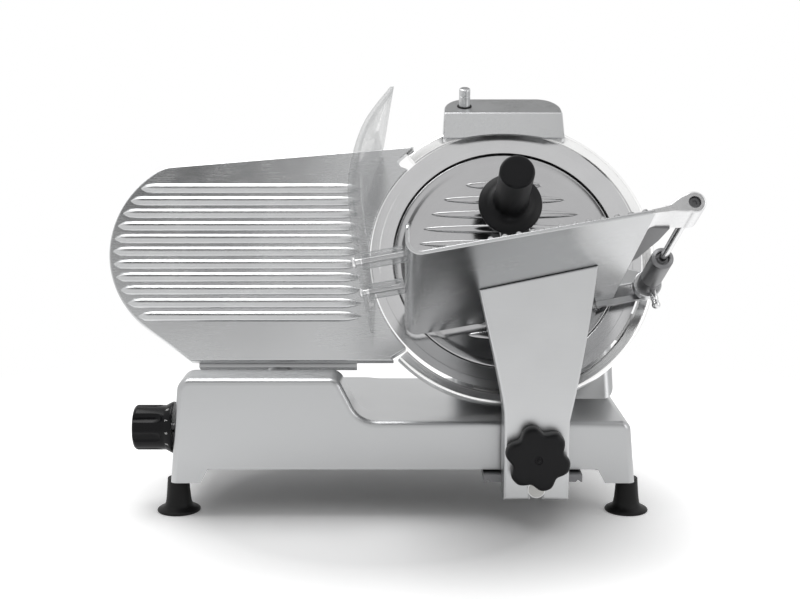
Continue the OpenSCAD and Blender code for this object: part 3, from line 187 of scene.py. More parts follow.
def inset(outline: Sequence[Flat], depth: float) -> list[Flat]:
    """Moves an anticlockwise outline inwards.

    Args:
        outline: The outline's points.
        depth: How far each side moves.

    Returns:
        The smaller outline, with as many points.
    """
    count, moved = len(outline), []
    for i, point in enumerate(outline):
        before, here, after = Vector(outline[i - 1]), Vector(point), Vector(outline[(i + 1) % count])
        one, two = (here - before).normalized(), (after - here).normalized()
        normal = Vector((one.y + two.y, -one.x - two.x))
        moved.append(tuple(here - normal * 2 * depth / max(normal.length_squared, 0.4)))
    return moved


def rounded_ends(outline: Sequence[Flat], radius: float, start: float, end: float) -> list[list[tuple[float,
    ...]]]:
    """Rings of a prism whose two ends are rounded.

    Args:
        outline: The prism's anticlockwise outline.
        radius: Radius of the rounding.
        start: Height of the lower end.
        end: Height of the upper end.

    Returns:
        The rings from the lower end to the upper end.
    """
    turns = [math.radians(90 * i / ROUNDING_STEPS) for i in range(ROUNDING_STEPS + 1)]
    eased = [(radius * (1 - math.sin(a)), radius * (1 - math.cos(a))) for a in turns]
    rings = [[(x, y, start + rise) for x, y in inset(outline, depth)] for depth, rise in eased]
    return rings + [[(x, y, end - rise) for x, y in inset(outline, depth)] for depth, rise in reversed(eased)]


@dataclass
class Form:
    """A mesh in the making, in millimetres."""

    points: list[Vector] = field(default_factory=list)
    faces: list[tuple[int, ...]] = field(default_factory=list)

    def add(self, points: Sequence, faces: Sequence[Sequence[int]], place: Matrix | None = None) -> "Form":
        """Adds points and faces.

        Args:
            points: The new points.
            faces: Faces as indices into the new points.
            place: Where the points go, if not as given.

        Returns:
            This form.
        """
        start, place = len(self.points), place or Matrix.Identity(4)
        self.points += [place @ Vector(p) for p in points]
        self.faces += [tuple(start + i for i in f) for f in faces]
        return self

    def loft(self, rings: Sequence[Sequence], caps: bool = True, place: Matrix | None = None) -> "Form":
        """Adds a skin through closed rings of equal length.

        Args:
            rings: The rings, each a list of 3-D points.
            caps: Whether the two ends are closed.
            place: Where the skin goes.

        Returns:
            This form.
        """
        n = len(rings[0])
        faces = [(k * n + i, k * n + (i + 1) % n, (k + 1) * n + (i + 1) % n, (k + 1) * n + i)
                 for k in range(len(rings) - 1) for i in range(n)]
        if caps:
            last = (len(rings) - 1) * n
            faces += [tuple(reversed(range(n))), tuple(range(last, last + n))]
        return self.add([p for ring in rings for p in ring], faces, place)

    def prism(self, outline: Sequence[Flat], low: float, high: float, place: Matrix | None = None) -> "Form":
        """Adds a straight prism along Z.

        Args:
            outline: Its anticlockwise outline.
            low: Its lower end.
            high: Its upper end.
            place: Where it goes.

        Returns:
            This form.
        """
        return self.loft([[(x, y, z) for x, y in outline] for z in (low, high)], place=place)

    def block(self, low: Sequence[float], high: Sequence[float], place: Matrix | None = None) -> "Form":
        """Adds a box between two corners.

        Args:
            low: Its lowest corner.
            high: Its highest corner.
            place: Where it goes.

        Returns:
            This form.
        """
        outline = [(low[0], low[1]), (high[0], low[1]), (high[0], high[1]), (low[0], high[1])]
        return self.prism(outline, low[2], high[2], place)

    def lathe(self, profile: Sequence[Flat], steps: int = 64, place: Matrix | None = None,
              turn: tuple[float, float] = (0.0, 360.0)) -> "Form":
        """Adds a turned shape round Z.

        Args:
            profile: Points as radius and height, closed through the axis or on itself.
            steps: Number of sides.
            place: Where it goes.
            turn: First and last angle in degrees, where it isn't a whole turn.

        Returns:
            This form.
        """
        whole = turn[1] - turn[0] >= 360
        angles = [math.radians(turn[0] + (turn[1] - turn[0]) * i / steps) for i in range(steps + (not whole))]
        points, index = [], []
        for r, z in profile:
            if r < ON_AXIS:
                index.append([len(points)] * len(angles))
                points.append((0, 0, z))
            else:
                index.append(list(range(len(points), len(points) + len(angles))))
                points += [(r * math.cos(a), r * math.sin(a), z) for a in angles]
        rows, faces = len(profile), []
        for k in range(rows):
            a, b = index[k], index[(k + 1) % rows]
            for i in range(steps):
                j = (i + 1) % len(angles)
                corners = list(dict.fromkeys((a[i], a[j], b[j], b[i])))
                if len(corners) > 2:
                    faces.append(tuple(corners))
        if not whole:
            faces += [tuple(row[0] for row in index), tuple(row[-1] for row in reversed(index))]
        return self.add(points, faces, place)

    def cylinder(self, radius: float, low: float, high: float, steps: int,
                 place: Matrix | None = None) -> "Form":
        """Adds a plain cylinder round Z.

        Args:
            radius: Its radius.
            low: Its lower end.
            high: Its upper end.
            steps: Number of sides.
            place: Where it goes.

        Returns:
            This form.
        """
        return self.lathe([(0, low), (radius, low), (radius, high), (0, high)], steps, place)

    def rod(self, start: Sequence[float], end: Sequence[float], radius: float, chamfer: float = 0.4,
            steps: int = 32) -> "Form":
        """Adds a round rod with chamfered ends.

        Args:
            start: Middle of one end.
            end: Middle of the other end.
            radius: The rod's radius.
            chamfer: Size of the chamfers.
            steps: Number of sides.

        Returns:
            This form.
        """
        a, b = Vector(start), Vector(end)
        length = (b - a).length
        place = Matrix.Translation(a) @ (b - a).to_track_quat("Z", "Y").to_matrix().to_4x4()
        return self.lathe([(0, 0), (radius - chamfer, 0), (radius, chamfer), (radius, length - chamfer),
                           (radius - chamfer, length), (0, length)], steps, place)

    def mesh(self, name: str, place: Matrix) -> bpy.types.Mesh:
        """Makes a mesh with faces outwards.

        Args:
            name: The mesh's name.
            place: The frame that the form is drawn in.

        Returns:
            The mesh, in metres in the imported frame.
        """
        made = bpy.data.meshes.new(name)
        made.from_pydata([place @ p for p in self.points], [], self.faces)
        bm = bmesh.new()
        bm.from_mesh(made)
        bmesh.ops.remove_doubles(bm, verts=bm.verts, dist=MERGE)
        bmesh.ops.recalc_face_normals(bm, faces=bm.faces)
        bm.to_mesh(made)
        bm.free()
        return made


def tilt_y(start: float) -> Matrix:
    """Turns an outline drawn in X and Z, so that heights run from start away from the operator.

    Args:
        start: Y of the front.

    Returns:
        The matrix, for outlines given as X and Z.
    """
    swapped = Matrix(((1, 0, 0, 0), (0, 0, 1, 0), (0, 1, 0, 0), (0, 0, 0, 1)))
    return move(0, start, 0) @ swapped


def smooth_path(points: Sequence[Vector], t: float) -> Vector:
    """A point on a smooth curve through points.

    Args:
        points: What the curve goes through.
        t: Place on the curve, from 0 to the number of spans.

    Returns:
        The point.
    """
    last = len(points) - 1
    i = min(int(t), last - 1)
    f = t - i
    a, b, c, d = points[max(i - 1, 0)], points[i], points[i + 1], points[min(i + 2, last)]
    bent, curled = 2 * a - 5 * b + 4 * c - d, 3 * b - a - 3 * c + d
    return 0.5 * (2 * b + (c - a) * f + bent * f * f + curled * f ** 3)


# Nodes


class Wire:
    """A socket's value in an expression, where each operator adds its Math node."""

    def __init__(self, desk: "Desk", socket: bpy.types.NodeSocket) -> None:
        """Keeps the socket and the desk that adds nodes for it."""
        self.desk, self.socket = desk, socket

    def maths(self, operation: str, *values: "Wire | float") -> "Wire":
        """Adds one Math node.

        Args:
            operation: Blender's name for it.
            values: Its inputs in order.

        Returns:
            The result.
        """
        return self.desk.node("ShaderNodeMath", {"operation": operation}, dict(enumerate(values)))

    def __add__(self, other: "Wire | float") -> "Wire":
        """Sum."""
        return self.maths("ADD", self, other)

    def __radd__(self, other: float) -> "Wire":
        """Sum with a number in front."""
        return self.maths("ADD", other, self)

    def __sub__(self, other: "Wire | float") -> "Wire":
        """Difference."""
        return self.maths("SUBTRACT", self, other)

    def __rsub__(self, other: float) -> "Wire":
        """Difference from a number."""
        return self.maths("SUBTRACT", other, self)

    def __mul__(self, other: "Wire | float") -> "Wire":
        """Product."""
        return self.maths("MULTIPLY", self, other)

    def root(self) -> "Wire":
        """Square root."""
        return self.maths("SQRT", self)

    def at_least(self, other: "Wire | float") -> "Wire":
        """The larger of two values."""
        return self.maths("MAXIMUM", self, other)


class Desk:
    """Adds nodes to one tree."""

    def __init__(self, tree: bpy.types.NodeTree) -> None:
        """Keeps the tree."""
        self.tree = tree

    def node(self, kind: str, settings: dict | None = None, sockets: dict | None = None,
             out: int | str = 0) -> Wire:
        """Adds one node.

        Args:
            kind: Blender's name of the node's type.
            settings: Its settings.
            sockets: Values or wires by the socket's name or number.
            out: Which output the wire takes.

        Returns:
            The wire from that output.
        """
        made = self.tree.nodes.new(kind)
        for key, value in (settings or {}).items():
            setattr(made, key, value)
        for key, value in (sockets or {}).items():
            if isinstance(value, Wire):
                self.tree.links.new(value.socket, made.inputs[key])
            else:
                made.inputs[key].default_value = value
        return Wire(self, made.outputs[out] if made.outputs else None)

    def position(self) -> Wire:
        """Coordinates in the piece's own frame."""
        return self.node("ShaderNodeTexCoord", None, None, "Object")

    def axis(self, vector: Wire, number: int) -> Wire:
        """One part of a vector.

        Args:
            vector: The vector.
            number: 0, 1 or 2.

        Returns:
            Its X, Y or Z.
        """
        return self.node("ShaderNodeSeparateXYZ", None, {0: vector}, number)

    def seen(self) -> Wire:
        """1 for camera, glossy and transmission rays, and 0 for the light that falls on things."""
        rays = [self.node("ShaderNodeLightPath", None, None, ray)
                for ray in ("Is Camera Ray", "Is Glossy Ray", "Is Transmission Ray")]
        return rays[0].at_least(rays[1]).at_least(rays[2])

    def glow(self, colour: Colour, strength: Wire | float) -> Wire:
        """Adds a shader that gives light.

        Args:
            colour: Its colour.
            strength: Its strength.

        Returns:
            The shader.
        """
        return self.node("ShaderNodeEmission", None, {"Color": (*colour, 1), "Strength": strength})

    def noise(self, where: Wire, scale: float, detail: float = 3.0, rough: float = 0.5) -> Wire:
        """Adds noise.

        Args:
            where: Its coordinates.
            scale: Its scale in them.
            detail: Number of finer layers.
            rough: Strength of the finer layers.

        Returns:
            The noise's value.
        """
        return self.node("ShaderNodeTexNoise", None, {"Vector": where, "Scale": scale, "Detail": detail,
                                                      "Roughness": rough})

    def mix(self, factor: Wire | float, one: Wire | Colour, two: Wire | Colour) -> Wire:
        """Mixes two colours.

        Args:
            factor: Share of the second.
            one: The first colour.
            two: The second colour.

        Returns:
            The mixed colour.
        """
        full = [c if isinstance(c, Wire) else (*c, 1) for c in (one, two)]
        return self.node("ShaderNodeMix", {"data_type": "RGBA"}, {0: factor, 6: full[0], 7: full[1]}, 2)

    def span(self, value: Wire, low: float, high: float, first: float, last: float) -> Wire:
        """Spreads a value's range over another range.

        Args:
            value: The value.
            low: Where it gives first.
            high: Where it gives last.
            first: Result at low.
            last: Result at high.

        Returns:
            The result, kept between first and last.
        """
        return self.node("ShaderNodeMapRange", None, {0: value, 1: low, 2: high, 3: first, 4: last})


def clear_desk(owner: bpy.types.Material | bpy.types.World) -> Desk:
    """Empties the nodes of a material or a world.

    Args:
        owner: The material or world.

    Returns:
        The desk for its nodes.
    """
    owner.use_nodes = True
    owner.node_tree.nodes.clear()
    return Desk(owner.node_tree)


class Grain(Enum):
    """How a finish's fine marks run."""

    EVEN = "even"
    ALONG_X = "along x"
    ALONG_BLADE = "up along the blade"
    TURNED = "round the blade's axis"


@dataclass(frozen=True)
class Finish:
    """A surface: its colour and the marks of its making."""

    name: str
    colour: Colour
    roughness: float
    metallic: float = 0.0
    grain: Grain = Grain.EVEN
    grain_size: float = 0.6
    grain_depth: float = 0.01
    mottle: float = 0.06
    uneven: float = 0.06
    shine: float = 0.5

    def material(self) -> bpy.types.Material:
        """The finish's material, made at its first use."""
        name = "finish_" + self.name
        made = bpy.data.materials.get(name)
        if made is None:
            made = bpy.data.materials.new(name)
            desk = clear_desk(made)
            desk.node("ShaderNodeOutputMaterial", None, {"Surface": self.shader(desk)})
        return made

    def coordinates(self, desk: Desk) -> Wire:
        """Coordinates in which the fine marks run as the grain says.

        Args:
            desk: The material's desk.

        Returns:
            The coordinates, in metres along the marks and stretched across them.
        """
        where = desk.position()
        if self.grain is Grain.EVEN:
            return where
        if self.grain is Grain.ALONG_X:
            return desk.node("ShaderNodeMapping", None, {"Vector": where, "Scale": (0.02, 1.0, 1.0)})
        to_blade = LAYOUT.blade().inverted()
        turned = desk.node("ShaderNodeMapping", None, {
            "Vector": where, "Location": tuple(to_blade.translation * METRE),
            "Rotation": tuple(to_blade.to_3x3().normalized().to_euler())})
        if self.grain is Grain.ALONG_BLADE:
            return desk.node("ShaderNodeMapping", None, {"Vector": turned, "Scale": (1.0, 0.03, 1.0)})
        parts = [desk.axis(turned, number) for number in (0, 1, 2)]
        radius = (parts[0] * parts[0] + parts[1] * parts[1]).root()
        return desk.node("ShaderNodeCombineXYZ", None, {0: radius, 1: parts[2] * 0.1})

    def shader(self, desk: Desk) -> Wire:
        """The surface's shader.

        Args:
            desk: The material's desk.

        Returns:
            The shader's wire.
        """
        where = desk.position()
        marks = self.coordinates(desk)
        fine = desk.noise(marks, 1 / (self.grain_size * METRE), 4.0, 0.6)
        broad = desk.noise(where, 18.0, 3.0)
        shade = desk.span(broad * 0.6 + fine * 0.4, 0.3, 0.7, 1 - self.mottle, 1 + self.mottle * 0.5)
        colour = desk.node("ShaderNodeVectorMath", {"operation": "SCALE"}, {0: self.colour, "Scale": shade})
        rough = desk.span(broad * 0.5 + fine * 0.5, 0.3, 0.7, self.roughness - self.uneven / 2,
                          self.roughness + self.uneven)
        bump = desk.node("ShaderNodeBump", None, {"Strength": 0.5, "Distance": self.grain_depth * METRE,
                                                  "Height": fine})
        return desk.node("ShaderNodeBsdfPrincipled", None, {
            "Base Color": colour, "Roughness": rough, "Metallic": self.metallic,
            "Specular IOR Level": self.shine, "Normal": bump})


@dataclass(frozen=True)
class ClearSheet(Finish):
    """Clear plastic with a faint grey tint that deepens where the sheet is seen at a slant."""

    body: float = 0.3
    edge: float = 0.55

    def shader(self, desk: Desk) -> Wire:
        """The sheet's shader.

        Args:
            desk: The material's desk.

        Returns:
            The shader's wire.
        """
        where = desk.position()
        slant = desk.node("ShaderNodeLayerWeight", None, {"Blend": 0.45}, "Facing")
        scuffs = desk.noise(where, 240.0, 4.0, 0.65)
        alpha = desk.span(slant + scuffs * 0.06, 0.0, 1.0, self.body, self.body + self.edge)
        rough = desk.span(scuffs, 0.35, 0.7, self.roughness, self.roughness + self.uneven)
        return desk.node("ShaderNodeBsdfPrincipled", None, {
            "Base Color": (*self.colour, 1), "Roughness": rough, "Alpha": alpha, "IOR": 1.49})


CAST = Finish("cast_aluminium", (0.44, 0.445, 0.45), 0.3, 1.0, grain_size=0.35, grain_depth=0.012,
              mottle=0.03)
SHEET = Finish("brushed_aluminium", (0.56, 0.565, 0.57), 0.24, 1.0, Grain.ALONG_X, 0.5, 0.006, 0.08)
GROUND = Finish("ground_steel", (0.58, 0.58, 0.585), 0.2, 1.0, Grain.TURNED, 0.45, 0.004, 0.12)
TURNED_COVER = Finish("polished_cover", (0.46, 0.46, 0.465), 0.16, 1.0, Grain.TURNED, 0.9, 0.003, 0.1)
PLAIN = Finish("plain_aluminium", (0.5, 0.505, 0.51), 0.38, 1.0, grain_size=0.5, grain_depth=0.02,
               mottle=0.08)
BRIGHT = Finish("bright_steel", (0.7, 0.7, 0.705), 0.12, 1.0, Grain.ALONG_X, 0.3, 0.003, 0.05)
SCREW = Finish("screw_steel", (0.52, 0.52, 0.53), 0.3, 1.0, grain_size=0.3, grain_depth=0.008, mottle=0.1)
PAINT = Finish("motor_paint", (0.06, 0.065, 0.07), 0.5, grain_size=0.8, grain_depth=0.03, mottle=0.15)
GRIP = Finish("black_grip", (0.008, 0.008, 0.009), 0.42, grain_size=0.7, grain_depth=0.05, mottle=0.25,
              uneven=0.12, shine=0.2)
GLOSS_BLACK = Finish("black_plastic", (0.004, 0.004, 0.005), 0.2, grain_size=0.9, grain_depth=0.012,
                     mottle=0.2,
                     shine=0.15)
RUBBER = Finish("black_rubber", (0.01, 0.01, 0.01), 0.5, grain_size=0.5, grain_depth=0.03, mottle=0.3,
                uneven=0.1, shine=0.2)
GREEN = Finish("green_plastic", (0.02, 0.26, 0.07), 0.25, grain_size=1.2, grain_depth=0.01, mottle=0.12)
RED = Finish("red_plastic", (0.5, 0.02, 0.018), 0.25, grain_size=1.2, grain_depth=0.01, mottle=0.12)
STONE = Finish("abrasive_stone", (0.62, 0.6, 0.54), 0.9, grain_size=0.25, grain_depth=0.12, mottle=0.3)
NUMBERS = Finish("dial_numbers", (0.75, 0.75, 0.74), 0.5, grain_size=0.3, grain_depth=0.004, mottle=0.1)
CLEAR = ClearSheet("clear_sheet", (0.5, 0.515, 0.52), 0.05, uneven=0.08, body=0.16, edge=0.3)
CLEAR_TUBE = ClearSheet("clear_tube", (0.5, 0.515, 0.52), 0.05, uneven=0.08, body=0.2, edge=0.5)
SATIN = Finish("satin_cast", (0.55, 0.555, 0.56), 0.27, 1.0, grain_size=0.5, grain_depth=0.008, mottle=0.04)
UNDERSIDE = Finish("tray_aluminium", (0.5, 0.505, 0.51), 0.24, 1.0, Grain.ALONG_BLADE, 0.6, 0.006, 0.08)
ARM = Finish("arm_aluminium", (0.52, 0.525, 0.53), 0.3, 1.0, Grain.ALONG_X, 0.5, 0.006, 0.05)
# A lighter copy of the aluminium: painted highlight on the ring guard
LIT_RING = Finish("ring_aluminium", (0.93, 0.93, 0.925), 0.24, 1.0, Grain.TURNED, 0.8, 0.004, 0.06)
# A lighter copy of the aluminium: painted highlight on the tray's ear
LIT_EAR = Finish("ear_aluminium", (0.74, 0.74, 0.745), 0.26, 1.0, grain_size=0.5, grain_depth=0.008, mottle=0.04)
# A darker copy of the aluminium: painted shade for pieces that sit in shadow
SHADED_ALUMINIUM = Finish("dull_aluminium", (0.2, 0.2, 0.205), 0.4, 1.0, grain_size=0.5, grain_depth=0.012, mottle=0.08)
PALE = Finish("pale_stud", (0.72, 0.715, 0.69), 0.4, 0.3, grain_size=0.5, grain_depth=0.01, mottle=0.05)
DARK_STEEL = Finish("dark_plug", (0.13, 0.13, 0.135), 0.45, 0.6, grain_size=0.4, grain_depth=0.01,
                    mottle=0.15)
SOFT_BLACK = Finish("soft_black", (0.006, 0.006, 0.007), 0.36, grain_size=0.6, grain_depth=0.02, mottle=0.25,
                    uneven=0.1, shine=0.2)

SLOT_FINISH = {
    Slot.ANODISED: CAST, Slot.PLAIN: PLAIN, Slot.BLADE: GROUND, Slot.BRIGHT: BRIGHT, Slot.SCREW: SCREW,
    Slot.MOTOR: PAINT, Slot.BLACK: GLOSS_BLACK, Slot.RUBBER: RUBBER, Slot.GREEN: GREEN, Slot.RED: RED,
    Slot.STONE: STONE, Slot.CLEAR: CLEAR,
}


# Making pieces


def link(name: str, data: bpy.types.ID) -> bpy.types.Object:
    """Makes an object in the scene.

    Args:
        name: Its name.
        data: Its mesh, curve, lamp or camera.

    Returns:
        The object.
    """
    made = bpy.data.objects.new(name, data)
    bpy.context.scene.collection.objects.link(made)
    return made


def discard(tool: bpy.types.Object) -> None:
    """Removes an object and its mesh.

    Args:
        tool: The object.
    """
    mesh = tool.data
    bpy.data.objects.remove(tool)
    bpy.data.meshes.remove(mesh)


def settle(piece: bpy.types.Object) -> bpy.types.Object:
    """Turns a piece and its modifiers into a plain mesh.

    Args:
        piece: The piece.

    Returns:
        The same piece.
    """
    graph = bpy.context.evaluated_depsgraph_get()
    made = bpy.data.meshes.new_from_object(piece.evaluated_get(graph))
    piece.modifiers.clear()
    old, piece.data = piece.data, made
    bpy.data.meshes.remove(old)
    made.name = piece.name
    return piece


@dataclass
class Blank:
    """A piece on the bench: it can be carved and its edges rounded before it is fitted."""

    name: str
    form: Form
    place: Matrix

    def __post_init__(self) -> None:
        """Makes the object."""
        self.piece = link(self.name, self.form.mesh(self.name, self.place))

    def cut(self, tool: Form, keep: bool = False, place: Matrix | None = None) -> "Blank":
        """Cuts a shape away, or keeps only what lies in it.

        Args:
            tool: The shape.
            keep: Whether what lies in it stays.
            place: The tool's frame, where it isn't the piece's.

        Returns:
            This blank.
        """
        other = link("tool", tool.mesh("tool", place or self.place))
        return self.carve(other, "INTERSECT" if keep else "DIFFERENCE")

    def carve(self, tool: bpy.types.Object, operation: str = "DIFFERENCE") -> "Blank":
        """Combines the piece with an object, which is then removed.

        Args:
            tool: The object.
            operation: Blender's name for the way they combine.

        Returns:
            This blank.
        """
        step = self.piece.modifiers.new("cut", "BOOLEAN")
        step.operation, step.solver, step.object = operation, "EXACT", tool
        settle(self.piece)
        discard(tool)
        return self

    def round_edges(self, radius: float, steps: int = 3, sharper_than: float = 30.0,
                    where: Callable[[Vector], bool] | None = None) -> "Blank":
        """Rounds edges.

        Args:
            radius: Radius in millimetres.
            steps: Number of strips.
            sharper_than: Edges that turn less than this many degrees stay.
            where: Test of an edge's two ends, in millimetres in the piece's frame.

        Returns:
            This blank.
        """
        bm = bmesh.new()
        bm.from_mesh(self.piece.data)
        bmesh.ops.remove_doubles(bm, verts=bm.verts, dist=MERGE)
        bmesh.ops.dissolve_limit(bm, angle_limit=STRAIGHT, verts=bm.verts, edges=bm.edges)
        weight = bm.edges.layers.float.new("bevel_weight_edge")
        back = self.place.inverted()
        limit = math.radians(sharper_than)
        for edge in bm.edges:
            wanted = len(edge.link_faces) == 2 and edge.calc_face_angle(0) > limit
            edge[weight] = float(wanted and (where is None or all(where(back @ v.co) for v in edge.verts)))
        bm.to_mesh(self.piece.data)
        bm.free()
        step = self.piece.modifiers.new("round", "BEVEL")
        step.limit_method, step.width, step.segments = "WEIGHT", radius * METRE, steps
        step.use_clamp_overlap = True
        settle(self.piece)
        return self

    def fit(self, finish: Finish, body: Body, slot: Slot, *nodes: str, crease: float = 35.0,
            flat: bool = True) -> bpy.types.Object:
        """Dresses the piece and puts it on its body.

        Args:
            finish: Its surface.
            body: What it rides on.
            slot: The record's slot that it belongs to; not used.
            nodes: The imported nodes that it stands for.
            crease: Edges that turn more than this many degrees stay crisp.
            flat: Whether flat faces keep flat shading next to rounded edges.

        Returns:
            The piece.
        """
        piece = self.piece
        piece.data.materials.clear()
        piece.data.materials.append(finish.material())
        for face in piece.data.polygons:
            face.use_smooth, face.material_index = True, 0
        piece.data.set_sharp_from_angle(angle=math.radians(crease))
        if flat:
            even = piece.modifiers.new("even", "WEIGHTED_NORMAL")
            even.keep_sharp = True
            settle(piece)
        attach(piece, body.value)
        if nodes:
            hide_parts(*nodes)
        LOG.info("%s on %s: %d faces", piece.name, body.value, len(piece.data.polygons))
        return piece


class Copier:
    """Repeats one shape with Geometry Nodes: along a line, round an axis, or with a length for each copy."""

    def __init__(self) -> None:
        """Builds the tree once."""
        self.tree = bpy.data.node_groups.new("copier", "GeometryNodeTree")
        face = self.tree.interface
        kinds = {"Shape": "Object", "Count": "Int", "Start": "Vector", "Step": "Vector", "Turn": "Vector",
                 "Radius": "Float", "Middle": "Vector", "Right": "Float", "Finish": "Material"}
        self.inputs = {name: face.new_socket(name=name, in_out="INPUT",
                                             socket_type="NodeSocket" + kind).identifier
                       for name, kind in kinds.items()}
        face.new_socket(name="Geometry", in_out="OUTPUT", socket_type="NodeSocketGeometry")
        desk = Desk(self.tree)
        given = self.tree.nodes.new("NodeGroupInput")
        wire = {name: Wire(desk, given.outputs[name]) for name in kinds}
        index = desk.node("GeometryNodeInputIndex")
        line = desk.node("GeometryNodeMeshLine", {"mode": "OFFSET"}, {
            "Count": wire["Count"], "Start Location": wire["Start"], "Offset": wire["Step"]})
        turn = desk.node("ShaderNodeVectorMath", {"operation": "SCALE"}, {0: wire["Turn"], "Scale": index})
        place = desk.node("GeometryNodeInputPosition")
        off = desk.node("ShaderNodeVectorMath", {"operation": "SUBTRACT"}, {0: place, 1: wire["Middle"]})
        rise = desk.axis(off, 1)
        reach = (wire["Radius"] * wire["Radius"] - rise * rise).at_least(1e-12).root()
        middle_x = desk.axis(wire["Middle"], 0)
        wanted = desk.node("ShaderNodeMath", {"operation": "GREATER_THAN"}, {0: wire["Radius"], 1: 0.0})
        # From the round edge's left to Right, or to its right where Right is over 0
        left = middle_x - reach
        both = desk.node("ShaderNodeMath", {"operation": "GREATER_THAN"}, {0: wire["Right"], 1: 0.0})
        length = (wire["Right"] - left) * (1.0 - both) + reach * 2.0 * both
        scale_x = 1.0 + wanted * (length - 1.0)
        move_x = wanted * left
        points = desk.node("GeometryNodeSetPosition", None, {
            "Geometry": line, "Offset": desk.node("ShaderNodeCombineXYZ", None, {0: move_x})})
        shape = desk.node("GeometryNodeObjectInfo", None, {"Object": wire["Shape"]}, "Geometry")
        copies = desk.node("GeometryNodeInstanceOnPoints", None, {
            "Points": points, "Instance": shape, "Rotation": turn,
            "Scale": desk.node("ShaderNodeCombineXYZ", None, {0: scale_x, 1: 1.0, 2: 1.0})})
        plain = desk.node("GeometryNodeRealizeInstances", None, {"Geometry": copies})
        dressed = desk.node("GeometryNodeSetMaterial", None, {"Geometry": plain, "Material": wire["Finish"]})
        desk.node("NodeGroupOutput", None, {0: dressed})

    def repeat(self, name: str, form: Form, place: Matrix, finish: Finish, count: int,
               start: Sequence[float] = (0, 0, 0), step: Sequence[float] = (0, 0, 0), turn: float = 0.0,
               chord: tuple[float, Flat, float] | None = None) -> Blank:
        """Makes a piece of repeated shapes.

        Args:
            name: The piece's name.
            form: The shape, in its place for the first copy.
            place: The frame that it is drawn in.
            finish: Its surface.
            count: Number of copies.
            start: Place of the first copy.
            step: From one copy to the next.
            turn: Degrees about Z from one copy to the next.
            chord: Radius, middle and right end of copies that start on a round edge, with a shape 1 mm long.

        Returns:
            The blank with all copies as a plain mesh.
        """
        seed = link("seed", form.mesh("seed", Matrix.Identity(4)))
        blank = Blank(name, Form(), Matrix.Identity(4))
        blank.place = place
        step_made = blank.piece.modifiers.new("copies", "NODES")
        step_made.node_group = self.tree
        radius, middle, right = chord or (0.0, (0.0, 0.0), 0.0)
        values = {"Shape": seed, "Count": count, "Start": tuple(map(float, start)), "Step": tuple(map(float,
            step)),
                  "Turn": (0.0, 0.0, math.radians(turn)), "Radius": radius, "Middle": (*middle, 0.0),
                  "Right": right, "Finish": finish.material()}
        for key, value in values.items():
            step_made[self.inputs[key]] = value
        blank.piece.update_tag()
        bpy.context.view_layer.update()
        settle(blank.piece)
        blank.piece.data.transform(place)
        discard(seed)
        return blank


# Sub-assemblies


